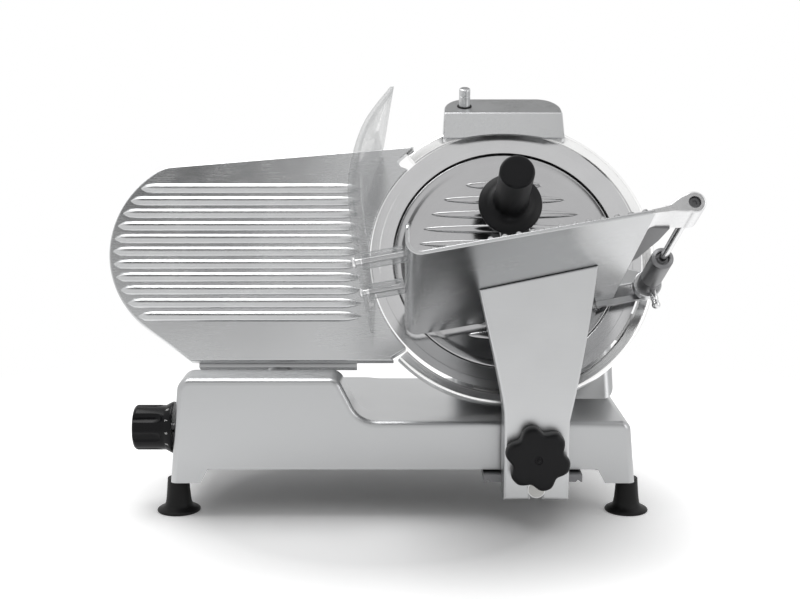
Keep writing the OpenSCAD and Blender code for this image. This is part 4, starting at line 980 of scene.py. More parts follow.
@dataclass
class Stand:
    """The cast base with its raised block, feet and the housings on its deck."""

    length: float = 490.0
    depth: float = 222.0
    deck: float = 103.0
    block: float = 149.0
    block_depth: float = 48.0
    block_end: float = -72.0
    skirt: float = 52.0
    foot: float = 37.0
    rim: float = 7.0
    wall: float = 5.0
    slope: float = math.tan(math.radians(4.5))

    def side(self, z: float) -> float:
        """Half the base's length at a height.

        Args:
            z: The height.

        Returns:
            Distance from the middle to the end.
        """
        return self.length / 2 - (z - self.foot) * self.slope

    def outline(self) -> list[Flat]:
        """The front face's outline without pads."""
        low, corner, fillet, crown = self.foot - 10, self.rim + 3, 30.0, 14.0
        side, block = self.side, self.block
        return ([(-side(low), low), (side(low), low)]
                + arc((side(self.deck) - corner, self.deck - corner), corner, 4.5, 90, 8)
                + arc((self.block_end + 16 + fillet, self.deck + fillet), fillet, 270, 200, 12)
                + arc((self.block_end - 4, block - crown), crown, 20, 90, 8)
                + arc((-side(block) + crown, block - crown), crown, 90, 175.5, 8))

    def casting(self) -> None:
        """The base's shell."""
        far, pad, pad_depth, half = 400.0, 32.0, 40.0, self.length / 2
        rings = rounded_ends(self.outline(), self.rim, 0, self.depth)
        blank = Blank("base_shell", Form().loft(rings, True, tilt_y(0)), LAYOUT.base())
        blank.cut(Form().prism([(-far, 0), (far, 0), (far, self.foot), (half - pad, self.foot),
                                (half - pad - 8, self.skirt), (-half + pad + 8, self.skirt),
                                (-half + pad, self.foot), (-far, self.foot)], -1, self.depth + 1, tilt_y(0)))
        blank.cut(Form().block((-far, self.block_depth, self.deck), (self.block_end + 60, far, far)))
        blank.cut(Form().block((-far, pad_depth, -1), (far, self.depth - pad_depth, self.skirt)))
        blank.round_edges(self.rim - 2, 5, 40, lambda p: p.z > self.deck + 8 and p.y > self.block_depth - 1)
        side, wall = self.side, self.wall
        deck, block = self.deck, self.block
        blank.cut(Form().prism([(-side(self.foot) + wall, self.foot - 1), (side(self.foot) - wall,
            self.foot - 1),
                                (side(deck) - wall, deck - wall - 6), (side(deck) - wall - 6, deck - wall),
                                (-side(deck) + wall + 6, deck - wall), (-side(deck) + wall, deck - wall - 6)],
                               wall, self.depth - wall, tilt_y(0)))
        blank.round_edges(0.8, 2, 50, lambda p: p.z < self.skirt + 0.5)
        blank.fit(CAST, Body.STAND, Slot.ANODISED, "base_casting", crease=32)

    def motor_cover(self) -> None:
        """The rounded housing over the motor."""
        back = [Vector(p) for p in ((234, 128), (232.5, 150), (221, 171), (199, 188), (173, 198))]
        outline = ([(106, self.deck + 0.2), (227, self.deck + 0.2), (232, self.deck + 3), (234,
            self.deck + 9)]
                   + [tuple(smooth_path(back, 4 * i / 16)) for i in range(17)] + [(163, 200.5), (155.5, 198),
                       (149, 191)])
        start, end, r = 58.0, self.side(self.deck) - 1, 13.0
        rings = rounded_ends(outline, r, start, end)
        blank = Blank("motor_shell", Form().loft(rings, place=ALONG_X), LAYOUT.base())
        blank.cut(Form().block((0, 0, 0), (400, 400, self.deck + 0.1)))
        blank.fit(CAST, Body.STAND, Slot.ANODISED, "motor_housing", crease=24, flat=False)

    def buttons(self) -> None:
        """The two domed buttons on the left end."""
        y, z, draft = 140.0, 76.0, 4.5
        face = LAYOUT.base() @ move(-self.side(z), y, z) @ rotate(draft - 90, "Y")
        profile = ([(0, -7.5), (9.6, -7.5), (10, -7.1), (10, 3.8)] + arc((8.3, 3.8), 1.7, 0, 80, 6)
                   + [(7.4, 5.4), (5.5, 4.9), (3, 4.6), (0, 4.5)])
        for name, place, finish, body, slot in (("green_button", -14.5, GREEN, Body.START, Slot.GREEN),
                                                ("red_button", 14.5, RED, Body.STOP, Slot.RED)):
            form = Form().lathe(profile, 64, move(0, place, 0))
            node = "start_button" if body is Body.START else "stop_button"
            Blank(name, form, face).fit(finish, body, slot, node, crease=40, flat=False)

    def feet(self, copier: Copier) -> None:
        """The four rubber feet.

        Args:
            copier: What repeats them.
        """
        profile = ([(0, 3), (15.5, 3), (17, 0.3), (21.2, 0)] + arc((21.4, 1.6), 1.6, -90, 60, 5)
                   + [(20.6, 4.0), (17, 5.2), (15, 7), (13.9, 10), (13.2, 14), (12.4, 22), (11.8, 30), (11.3,
                       36.4),
                      (10.9, 36.8), (0, 36.8)])
        inset_x, inset_y = 5.0, 24.0
        half = self.length / 2 - inset_x
        form = Form()
        for y in (inset_y, self.depth - inset_y):
            form.lathe(profile, 48, move(0, y, 0))
        made = copier.repeat("rubber_feet", form, LAYOUT.base(), RUBBER, 2, (-half, 0, 0), (2 * half, 0, 0))
        made.fit(RUBBER, Body.STAND, Slot.RUBBER, "feet", flat=False)

    def build(self, copier: Copier) -> None:
        """Builds the sub-assembly.

        Args:
            copier: What repeats shapes.
        """
        self.casting()
        self.motor_cover()
        self.buttons()
        self.feet(copier)


@dataclass
class BladeHead:
    """Blade, its cover and the ring that guards it."""

    radius: float = 150.0
    dish: float = 126.0
    ring_inner: float = 152.5
    ring_outer: float = 166.5
    front: float = -3.0
    depth: float = 14.0
    open_from: float = 131.0
    open_to: float = 224.0
    cover: float = 125.0
    cover_face: float = -3.4

    def blade(self) -> None:
        """The hollow-ground blade."""
        back, r, dish = -11.0, self.radius, self.dish
        profile = [(13, -9.5), (dish - 0.6, -9.5), (dish, -8.9), (dish, -2.6), (dish + 0.5, -2.2), (dish + 3,
            -2.05),
                   (r - 9.5, -0.95), (r - 9, -0.75), (r, 0), (r - 9, -5), (dish + 5, -6.5), (dish + 4,
                       back - 2.5),
                   (13, back - 2.5)]
        blank = Blank("round_blade", Form().lathe(profile, 192), LAYOUT.blade())
        blank.fit(GROUND, Body.BLADE, Slot.BLADE, "blade", crease=4, flat=False)

    def ring(self) -> None:
        """The open ring with its webs."""
        inner, outer, top, low = self.ring_inner, self.ring_outer, self.front, self.front - self.depth
        rolled = arc((outer - 4, top - 4), 4, 0, 90, 6)
        profile = ([(inner, low), (outer - 5, low)] + arc((outer - 5, low + 5), 5, -90, 0, 5)
                   + rolled + [(outer - 5, top - 0.6), (inner + 2.4, top - 1.6), (inner + 1, top - 2.2),
                               (inner, top - 3.4)])
        form = Form().lathe(profile, 220, None, (self.open_to, self.open_from + 360))
        for angle in (48, 330, 262):
            form.block((68, -17, low - 4), (154, 17, low + 2), rotate(angle, "Z"))
        blank = Blank("blade_ring", form, LAYOUT.blade())
        # The ring takes the lighter aluminium: painted highlight
        blank.fit(LIT_RING, Body.STAND, Slot.ANODISED, "ring_guard", crease=28, flat=False)

    def cover_plate(self, copier: Copier) -> None:
        """The blade's cover with its pressed ribs.

        Args:
            copier: What repeats the ribs.
        """
        r, face = self.cover, self.cover_face
        profile = ([(0, face - 1.2), (r - 14, face - 1.2), (r - 11, face - 0.8), (r - 8.5, face - 0.15),
                    (r - 7, face)] + arc((r - 2, face - 2), 2, 90, 0, 5)
                   + [(r, face - 3), (r - 10, face - 4), (0, face - 4)])
        Blank("cover_plate", Form().lathe(profile, 160), LAYOUT.blade()).fit(
            TURNED_COVER, Body.STAND, Slot.ANODISED, "blade_cover", crease=50, flat=False)
        steps, rings, height, half_width = 28, [], 2.1, 5.4
        for i in range(steps + 1):
            t = i / steps
            lens = math.sin(math.pi * t) ** 0.5
            rings.append([(t, half_width * lens * math.cos(a) + 1e-4,
                           face - 0.4 + height * lens * math.sin(a))
                          for a in (math.radians(180 * k / 10) for k in range(11))])
        pitch, edge = 17.6, 98.0
        ribs = copier.repeat("cover_ribs", Form().loft(rings), LAYOUT.blade(), TURNED_COVER, 11,
                             (0, -5 * pitch, 0), (0, pitch, 0), chord=(edge, (0.0, 0.0), edge))
        ribs.fit(TURNED_COVER, Body.STAND, Slot.ANODISED, crease=60, flat=False)

    def build(self, copier: Copier) -> None:
        """Builds the sub-assembly.

        Args:
            copier: What repeats shapes.
        """
        self.blade()
        self.ring()
        self.cover_plate(copier)


@dataclass
class Gauge:
    """The gauge plate to the left of the blade."""

    reach: float = 441.0
    low: float = 118.5
    big: float = 113.0
    small: float = 35.0
    gap_radius: float = 151.5
    slope: float = 5.1
    face: float = 0.8
    rim: float = 12.0
    pitch: float = 15.0
    ribs: int = 11
    lift: float = 125.0
    wall: float = 4.0

    def centre(self) -> Flat:
        """Middle of the plate's round left end."""
        return (-self.reach + self.big, 10.0)

    def shoulder(self, radius: float) -> tuple[Flat, Flat]:
        """The plate's small upper corner.

        Args:
            radius: Radius of the arc round its middle.

        Returns:
            Its middle, and where the sloping top meets the arc.
        """
        (cx, cy), off = self.centre(), self.big - self.small
        lift, tilt = math.radians(self.lift), math.radians(90 + self.slope)
        middle = (cx + off * math.cos(lift), cy + off * math.sin(lift))
        return middle, (middle[0] + radius * math.cos(tilt), middle[1] + radius * math.sin(tilt))

    def outline(self) -> list[Flat]:
        """The plate's outline, with its two notches at the blade."""
        c2, start = self.shoulder(self.small)
        tip = (-101.5, start[1] + (-101.5 - start[0]) * math.tan(math.radians(self.slope)))
        r, first, last = self.gap_radius, math.radians(223.3), self.low
        return ([(-344, -last), (-124, -last), (-127, -last + 4),
                 ((r + 1) * math.cos(first), (r + 1) * math.sin(first))]
                + arc((0, 0), r, 222.3, 135.7, 40) + [(-117, 109), (-120, 114), (-117, 119.5), tip]
                + arc(c2, self.small, 90 + self.slope, self.lift, 8) + arc(self.centre(), self.big, 127, 232,
                    40))

    def hollow(self) -> list[Flat]:
        """Outline of the hollow behind the plate."""
        inner, low = self.small - self.wall, -self.low + self.wall
        c2, start = self.shoulder(inner)
        return ([(-343, low), (-133, low), (-130, -104)] + arc((0, 0), self.gap_radius + 5, 218, 140, 30)
                + [(-126, 108), (-126, start[1] + (-126 - start[0]) * math.tan(math.radians(self.slope)))]
                + arc(c2, inner, 90 + self.slope, self.lift, 8)
                + arc(self.centre(), self.big - self.wall, 127, 232, 40))

    def build(self, copier: Copier) -> None:
        """Builds the sub-assembly.

        Args:
            copier: What repeats the ribs.
        """
        blank = Blank("gauge_sheet", Form().prism(self.outline(), self.face - self.rim, self.face),
                      LAYOUT.blade())
        blank.round_edges(1.6, 3, 40)
        blank.cut(Form().prism(self.hollow(), self.face - self.rim - 1, self.face - self.wall))
        blank.fit(SHEET, Body.GAUGE, Slot.ANODISED, "gauge_plate", crease=40)
        rise, width, sides, steps = 3.0, 6.2, 14, 30
        rings = []
        for i in range(steps + 1):
            t = i / steps
            swell = min(1.0, math.sin(min(t / 0.05, (1 - t) / 0.09, 1.0) * math.pi / 2)) ** 0.8
            rings.append([(t, max(swell, 0.02) * width * math.cos(a),
                           -0.6 + max(swell, 0.02) * (rise + 0.6) * math.sin(a))
                          for a in (math.radians(180 * k / sides) for k in range(sides + 1))])
        place = LAYOUT.blade() @ move(0, 0, self.face)
        ribs = copier.repeat("gauge_ribs", Form().loft(rings), place, SHEET, self.ribs,
                             (0, 82 - (self.ribs - 1) * self.pitch, 0), (0, self.pitch, 0),
                             chord=(self.big - 3, self.centre(), -158.0))
        ribs.fit(SHEET, Body.GAUGE, Slot.ANODISED, crease=60, flat=False)


def lobed(profile: Sequence[Flat], lobes: int, depth: float, phase: float, blunt: float) -> Form:
    """A hand knob whose rim waves between lobes.

    Args:
        profile: Points as radius and height, from the axis at the back to the axis at the front.
        lobes: Number of lobes.
        depth: Depth of the dips as a share of the radius.
        phase: Angle of a lobe in degrees.
        blunt: How narrow the dips are beside the lobes.

    Returns:
        The form.
    """
    steps, widest = 16 * lobes, max(r for r, _ in profile)
    rings = []
    for r, z in profile:
        ring = []
        for i in range(steps):
            turn = 360 * i / steps
            dip = ((1 - math.cos(math.radians(lobes * turn))) / 2) ** blunt
            reach = r * (1 - depth * dip * (r / widest) ** 2)
            angle = math.radians(turn + phase)
            ring.append((reach * math.cos(angle), reach * math.sin(angle), z))
        rings.append(ring)
    return Form().loft(rings)


@dataclass
class Sharpener:
    """The sharpener over the blade: its cover, the push pin and the pin's collar."""

    low: float = 139.0
    front: float = 12.0
    back: float = -58.0
    half: float = 70.0
    step: float = 31.0
    reach: float = 50.0
    lean: Flat = (0.694658, -0.71934)
    wall: float = 4.0
    ring: float = 166.9
    pin_u: float = -43.5
    pin_back: float = 22.0
    pin_radius: float = 6.5
    pin_out: float = 22.0

    def body(self, grow: float, low: float) -> Form:
        """The cover's outer or inner shape.

        Args:
            grow: How far its faces move outwards.
            low: Height of its lower end.

        Returns:
            The form, along the blade's X.
        """
        knee = self.low + self.step
        far = (knee + self.lean[0] * self.reach + grow, self.front + self.lean[1] * self.reach + grow * 0.3)
        outline = [(low, self.back - grow), (self.low + 26, self.back - grow), (far[0] - 6,
            far[1] - 12 - grow), far,
                   (knee + grow * 0.5, self.front + grow), (low, self.front + grow)]
        return Form().prism(outline, -self.half - grow, self.half + grow, ALONG_X)

    def cover(self) -> None:
        """The hollow cover with its arched lower edge."""
        top, corner, half = self.low + self.step + self.lean[0] * self.reach, 26.0, self.half
        shape = ([(-half, 120), (half, 120)] + arc((half - 3 - corner, top - corner - 1), corner, 0, 90, 12)
                 + arc((-half + 3 + corner, top - corner - 1), corner, 90, 180, 12))
        blank = Blank("sharpener_shell", self.body(0, self.low), LAYOUT.blade())
        blank.cut(Form().prism(shape, -200, 200), keep=True)
        blank.round_edges(3.6, 4, 24, lambda p: p.y > self.low + 1 or p.z > self.front - 1 and abs(p.x) > half - 1)
        blank.cut(self.body(-self.wall, self.low - 9))
        blank.cut(Form().cylinder(self.ring, -200, -1, 160))
        blank.cut(Form().cylinder(224, -1, 40, 200, move(0, -80, 0)))
        pin = self.pin_place()
        blank.cut(Form().cylinder(8.6, -20, 20, 48, pin))
        blank.round_edges(0.7, 2, 50, lambda p: p.y < self.low + 8 and p.z > self.front - 6)
        blank.fit(SATIN, Body.STAND, Slot.ANODISED, "sharpener_cover", crease=38)
        collar = Form().lathe([(6.75, -3), (8.5, -3), (8.5, 0.6), (8.1, 1.1), (7.2, 1.1), (6.75, 0.6)], 48,
                              pin)
        Blank("pin_collar", collar, LAYOUT.blade()).fit(GRIP, Body.STAND, Slot.BLACK, flat=False)

    def pin_place(self) -> Matrix:
        """Frame of the push pin, with Z out of the cover's sloping top."""
        tilt = Matrix.Rotation(-math.atan2(self.lean[0], -self.lean[1]), 4, "X")
        return move(self.pin_u, self.low + self.step + self.lean[0] * self.pin_back,
                                   self.front + self.lean[1] * self.pin_back) @ tilt

    def build(self) -> None:
        """Builds the sub-assembly."""
        self.cover()
        r, top = self.pin_radius, self.pin_out
        profile = ([(0, -22), (r - 0.5, -22), (r, -21.5), (r, top - 9), (r - 0.5, top - 8.5), (r - 0.5,
            top - 8),
                    (r, top - 7.5), (r, top - 2)] + arc((r - 2, top - 2), 2, 10, 90, 5) + [(0, top)])
        pin = Blank("push_pin", Form().lathe(profile, 48, self.pin_place()), LAYOUT.blade())
        pin.fit(SATIN, Body.GRIND, Slot.BRIGHT, "grind_pin", flat=False)


@dataclass
class Carriage:
    """The food tray, the arm that carries it and the star knob."""

    left: float = 113.0
    right: float = 116.0
    thick: float = 4.0
    corner: float = 14.0
    wall: float = 30.0
    lean: float = 3.7429
    start: float = 8.0
    end: float = 277.0
    pitch: float = 13.0
    ear: float = 42.0
    boss: float = 10.5
    rod: float = 152.0
    arm_x: float = 136.0
    arm_front: float = -46.4
    arm_depth: float = 34.0
    arm_half: float = 33.5
    arm_low: float = 33.0
    flare: float = 115.0
    flare_grow: float = 27.0
    star: float = 80.0

    def tray(self, copier: Copier) -> None:
        """The tray's sheet, its ribs and the ear that holds the pusher's rod.

        Args:
            copier: What repeats the ribs.
        """
        bend, t = (-self.left + self.corner, self.corner - self.thick), self.thick
        outline = ([(self.right, 0)] + arc(bend, self.corner - t, 270, 180, 12)
                   + [(-self.left + t + self.lean, self.wall), (-self.left + self.lean, self.wall)]
                   + arc(bend, self.corner, 180, 270, 14) + [(self.right, -t)])
        place = LAYOUT.tray()
        sheet = Blank("tray_sheet", Form().prism(outline, self.start, self.end), place)
        nose = 9.0
        round_off = ([(self.wall + 2, self.end - nose), (self.wall + 2, self.end + 2), (self.wall - nose,
            self.end + 2)]
                     + arc((self.wall - nose, self.end - nose), nose, 90, 0, 10))
        sheet.cut(Form().prism(list(reversed(round_off)), -self.left - 9, -self.left + 22, ALONG_X))
        sheet.round_edges(1.5, 3, 35)
        sheet.fit(UNDERSIDE, Body.CARRIAGE, Slot.ANODISED, "food_tray", crease=40)
        rib = Form().lathe([(0, 0), (1.6, 0.2), (2.6, 1.4), (2.9, self.end - self.start - 8),
                            (2.4, self.end - self.start - 6.6), (0, self.end - self.start - 6.4)], 24)
        count = int((self.left + self.right - 32) / self.pitch) + 1
        ribs = copier.repeat("tray_ribs", rib, place, SATIN, count,
                             (-self.left + 24, -0.7, self.start + 6), (self.pitch, 0, 0))
        ribs.fit(SATIN, Body.CARRIAGE, Slot.ANODISED, flat=False)
        self.tray_ear(place)
        web = [(0, self.end - 39), (0, 132), (7, 150), (18, 205), (22, self.end - 39)]
        turned = Matrix(((1, 0, 0, 0), (0, 0, -1, 0), (0, 1, 0, 0), (0, 0, 0, 1)))
        lean = move(self.right - 3, -2, 0) @ rotate(-14, "Z") @ turned
        blank = Blank("tray_web", Form().prism(web, -1.3, 1.3, lean), place)
        blank.round_edges(0.6, 2, 40)
        # The web takes the darker aluminium: painted shade on a face turned down and away
        blank.fit(SHADED_ALUMINIUM, Body.CARRIAGE, Slot.ANODISED)

    def tray_ear(self, place: Matrix) -> None:
        """The ear at the tray's right end, which narrows into a round boss.

        Args:
            place: The tray's frame.
        """
        low, r = self.end - self.ear, self.boss
        outline = ([(self.right - 4, -self.thick + 0.05), (self.right + 5, -self.thick), (self.right + 16,
            -6.2),
                    (self.rod - 9, -r + 1.8)]
                   + arc((self.rod, 0), r, 236, 474, 30) + [(self.rod - 12, 7.4), (self.right + 14, 2.6),
                                                            (self.right + 4, 0.3), (self.right - 4, -0.05)])
        blank = Blank("tray_ear", Form().prism(outline, low, self.end), place)
        blank.round_edges(1.5, 3, 30, lambda p: p.x > self.right - 2)
        blank.cut(Form().cylinder(5.7, self.end - 8, self.end + 4, 40, move(self.rod, 0, 0)))
        blank.round_edges(0.5, 2, 60, lambda p: p.z > self.end - 1 and math.hypot(p.x - self.rod, p.y) < 6.2)
        # The ear takes the lighter aluminium: painted highlight
        blank.fit(LIT_EAR, Body.CARRIAGE, Slot.ANODISED, crease=38)
        plug = Form().lathe([(0, self.end - 8.2), (5.6, self.end - 8.2), (5.6, self.end - 3.4), (4.6,
            self.end - 2.6),
                             (2.4, self.end - 2.6), (2.0, self.end - 3.6), (0, self.end - 3.6)], 40,
                            move(self.rod, 0, 0))
        Blank("rod_plug", plug, place).fit(DARK_STEEL, Body.CARRIAGE, Slot.SCREW, flat=False)

    def edge(self, h: float, side: int) -> float:
        """X of the arm's edge at a height over the flare's start.

        Args:
            h: The height.
            side: -1 for the left edge, 1 for the right edge.

        Returns:
            The edge's X.
        """
        if side < 0:
            return self.arm_x - self.arm_half - self.flare_grow * (math.sqrt(h * h + 400) - 20) / 119
        return self.arm_x + self.arm_half + self.flare_grow * (h / 130 - h * h / 82000)

    def arm(self) -> None:
        """The arm, open at its back, with the slot for the stud at its foot."""
        x, low, slot, half, rise, steps = self.arm_x, self.arm_low, 5.7, self.arm_half, 190.0, 20
        heights = [rise * i / steps for i in range(steps + 1)]
        foot = [(x - half, low), (x - slot, low), (x - slot, low + 14)] + arc((x, low + 14), slot, 180, 0,
            10)[1:-1] + [
            (x + slot, low + 14), (x + slot, low), (x + half, low)]
        outline = foot + [(self.edge(h, 1), self.flare + h) for h in heights] + [
            (self.edge(h, -1), self.flare + h) for h in reversed(heights)]
        blank = Blank("carriage_post", Form().prism(outline, 0, self.arm_depth, tilt_y(self.arm_front)),
                      LAYOUT.base())
        far = 400.0
        blank.cut(Form().block((-far, -self.thick - 0.1, -far), (far, far, far)), place=LAYOUT.tray())
        blank.round_edges(3.2, 4, 35, lambda p: p.y < self.arm_front + 1)
        wall = 5.0
        hollow = [(x - half + wall, low - 1), (x + half - wall, low - 1)] + [
            (self.edge(h, 1) - wall, self.flare + h * 1.1) for h in heights] + [
            (self.edge(h, -1) + wall, self.flare + h * 1.1) for h in reversed(heights)]
        blank.cut(Form().prism(hollow, wall, self.arm_depth + 1, tilt_y(self.arm_front)))
        blank.fit(ARM, Body.CARRIAGE, Slot.ANODISED, "carriage_arm", crease=38)

    def knob(self) -> None:
        """The star knob with its screw and the pale stud below it."""
        place = LAYOUT.base() @ move(self.arm_x, self.arm_front - 0.4, self.star) @ rotate(90, "X")
        profile = [(0.01, 0), (11.6, 0), (12, 0.4), (12, 3), (30.6, 3), (32.6, 4.2), (33.4, 6.5), (33.4, 12),
                   (32.8, 16.5), (31.6, 19.4), (29.6, 20.7), (27.4, 21), (9, 20.8), (4.2, 20.6), (3.4, 19.6),
                   (1.6, 19.4), (1.2, 20.2), (0.01, 20.4)]
        knob = Blank("star_knob", lobed(profile, 6, 0.2, 45, 1.5), place)
        knob.fit(SOFT_BLACK, Body.STAR_KNOB, Slot.BLACK, "carriage_knob", crease=42, flat=False)
        stem = Form().rod((self.arm_x, self.arm_front - 2, self.star),
                          (self.arm_x, self.arm_front + self.arm_depth + 7.5, self.star), 4.95)
        Blank("star_screw", stem, LAYOUT.base()).fit(SCREW, Body.STAR_KNOB, Slot.BLACK, flat=False)
        disc = Form().lathe([(0, -9), (3.9, -9), (3.9, 0), (8.2, 0), (9, 0.7), (9, 1.4), (8.3, 2.2), (2.2,
            2.5), (0, 2.5)],
                            48, move(self.arm_x, self.arm_front - 0.3, self.arm_low + 12)
                            @ rotate(90, "X"))
        Blank("stud_disc", disc, LAYOUT.base()).fit(PALE, Body.CARRIAGE, Slot.BRIGHT, flat=False)

    def build(self, copier: Copier) -> None:
        """Builds the sub-assembly.

        Args:
            copier: What repeats shapes.
        """
        self.tray(copier)
        self.arm()
        self.knob()


@dataclass
class Pusher:
    """The pusher: its sleeve on the rod, the arm, the handle and the sleeve's pin."""

    rod: float = 152.0
    handle: Flat = (24.5, 115.0)
    ring: float = 22.0
    ring_long: float = 12.0
    sleeve_from: float = 15.0
    sleeve_long: float = 105.0
    sleeve_radius: float = 11.5
    disc_back: float = 36.0

    def build(self) -> None:
        """Builds the sub-assembly."""
        place, (a, b) = LAYOUT.tray(), self.handle
        start, end, r, ring = self.sleeve_from, self.sleeve_from + self.sleeve_long, self.sleeve_radius, self.ring
        low, top = ring + self.ring_long + 0.4, end - 1.5
        profile = ([(4.05, start), (r - 0.6, start), (r, start + 0.6), (r, start + 6), (r - 0.6, start + 6.6),
                    (8, start + 6.6), (8, low), (r - 0.8, low), (r, low + 0.8), (r, low + 22), (r - 0.5,
                        low + 22.6),
                    (r - 0.5, low + 23.6), (r, low + 24.2), (r, top - 1.5)]
                   + arc((r - 1.8, top - 1.3), 1.8, 10, 80, 5)
                   + [(8.2, end), (7.2, end - 0.4), (6.6, end - 1.6), (6.4, end - 5.6), (4.05, end - 6)])
        sleeve = Blank("sleeve_tube", Form().lathe(profile, 64, move(self.rod, 0, 0)), place)
        # The sleeve takes the darker aluminium: painted shade for its shadowed side
        sleeve.fit(SHADED_ALUMINIUM, Body.SLEEVE, Slot.ANODISED, "pusher_sleeve", crease=40, flat=False)
        across = move(self.rod, -r + 3, low + 11.6) @ rotate(90, "X")
        pin = Form().lathe([(0, 0.3), (3, 0.3), (3.2, 0.6), (3.2, 8), (4, 8.8), (4.2, 13), (3.7, 14), (3.7,
            15),
                            (4.4, 16.4)] + arc((0, 19.6), 4.6, -38, 90, 12), 40, across)
        Blank("lock_pin", pin, place).fit(BRIGHT, Body.SLEEVE, Slot.BRIGHT, "sleeve_pin", crease=50,
                                          flat=False)
        outline = [(self.rod - 8, 4.5), (self.rod, 15), (a + 40, 52), (a + 17, 74), (a + 17, b + 8),
                   (a + 14, b + 14), (a + 8, b + 17), (a - 8, b + 17), (a - 14, b + 14), (a - 17, b + 8),
                   (a - 17, 40), (a + 30, 22), (self.rod - 40, 4.5)]
        arm = Blank("pusher_bar", Form().prism(outline, ring + 2, ring + 8), place)
        arm.round_edges(1.6, 3, 40)
        arm.fit(SATIN, Body.PUSHER, Slot.ANODISED, "pusher_arm", crease=38)
        hub = Form().lathe([(8.05, ring), (14.2, ring), (15, ring + 0.8), (15, ring + self.ring_long - 0.8),
                            (14.2, ring + self.ring_long), (8.05, ring + self.ring_long)], 64,
                           move(self.rod, 0, 0))
        Blank("arm_hub", hub, place).fit(SATIN, Body.PUSHER, Slot.ANODISED, crease=30, flat=False)
        self.grip(place)

    def grip(self, place: Matrix) -> None:
        """The handle with the disc that guards the hand.

        Args:
            place: The tray's frame.
        """
        back, r = self.disc_back, 18.5
        top = back + 8 + 89
        profile = ([(0, back - 6), (10, back - 6), (12, back), (31.5, back)]
                   + arc((32, back + 3), 3, -80, 62, 8) + [(27, back + 7.2), (22.6, back + 8.6), (20.2,
                       back + 10.8),
                                                         (18.7, back + 15), (18.2, back + 24), (r - 0.2,
                                                             top - 26),
                                                         (r, top - 4)]
                   + arc((r - 3, top - 3), 3, 0, 80, 6) + [(r - 6, top), (6, top - 0.2), (0, top - 0.2)])
        Blank("pusher_grip", Form().lathe(profile, 96, move(*self.handle, 0)), place).fit(
            SOFT_BLACK, Body.PUSHER, Slot.BLACK, "pusher_handle", crease=40, flat=False)


@dataclass
class Guard:
    """The clear sheet at the tray's left, with its screws; its tubes stay as imported nodes."""

    near: tuple[tuple[float, float, float], ...] = (
        (-42, -157, 284), (-51, -131, 352), (-47, -112, 388), (-35, -99, 420), (-12, -84, 450))
    away: tuple[tuple[float, float, float], ...] = (
        (-35, 62, 186), (-34, 84, 232), (-41, 106, 276), (-45, 128, 325), (-25, 158, 380))
    thick: float = 4.0
    left: float = 113.0
    rise: float = 16.0
    stations: tuple[Flat, ...] = ((130.0, 35.4), (228.0, 40.0))

    def build(self) -> None:
        """Builds the sub-assembly."""
        rows, columns = 44, 12
        near, away = [[Vector(p) for p in edge] for edge in (self.near, self.away)]
        points, faces = [], []
        for side in (0, 1):
            for i in range(rows + 1):
                t = i * 4 / rows
                for j in range(columns + 1):
                    p = smooth_path(near, t).lerp(smooth_path(away, t), j / columns)
                    points.append(p + Vector((side * self.thick, 0, 0)))
        width, block = columns + 1, (rows + 1) * (columns + 1)
        for i in range(rows):
            for j in range(columns):
                at = i * width + j
                faces += [(at, at + width, at + width + 1, at + 1),
                          (block + at, block + at + 1, block + at + width + 1, block + at + width)]
        rim = ([j for j in range(columns)] + [i * width + columns for i in range(rows)]
               + [rows * width + j for j in range(columns, 0, -1)] + [i * width for i in range(rows, 0, -1)])
        faces += [(a, b, b + block, a + block) for a, b in zip(rim, rim[1:] + rim[:1])]
        sheet = Blank("guard_sheet", Form().add(points, faces), LAYOUT.base())
        sheet.round_edges(0.9, 2, 50)
        sheet.fit(CLEAR, Body.CARRIAGE, Slot.CLEAR, "thumb_guard", crease=50, flat=False)
        form = Form()
        for along, length in self.stations:
            place = move(-self.left, self.rise, along) @ rotate(-90, "Y")
            out = length + 6.3
            form.lathe([(0, 0.3), (2.7, 0.3), (3, 0.6), (3, out), (5.0, out), (5.5, out + 0.6), (5.3,
                out + 1.6),
                        (4.3, out + 2.6), (2.6, out + 3), (2.3, out + 2.9), (2.1, out + 1.2), (0, out + 1.2)],
                        40, place)
        Blank("sheet_screws", form, LAYOUT.tray()).fit(BRIGHT, Body.CARRIAGE, Slot.SCREW, "guard_screws",
                                                       crease=40, flat=False)


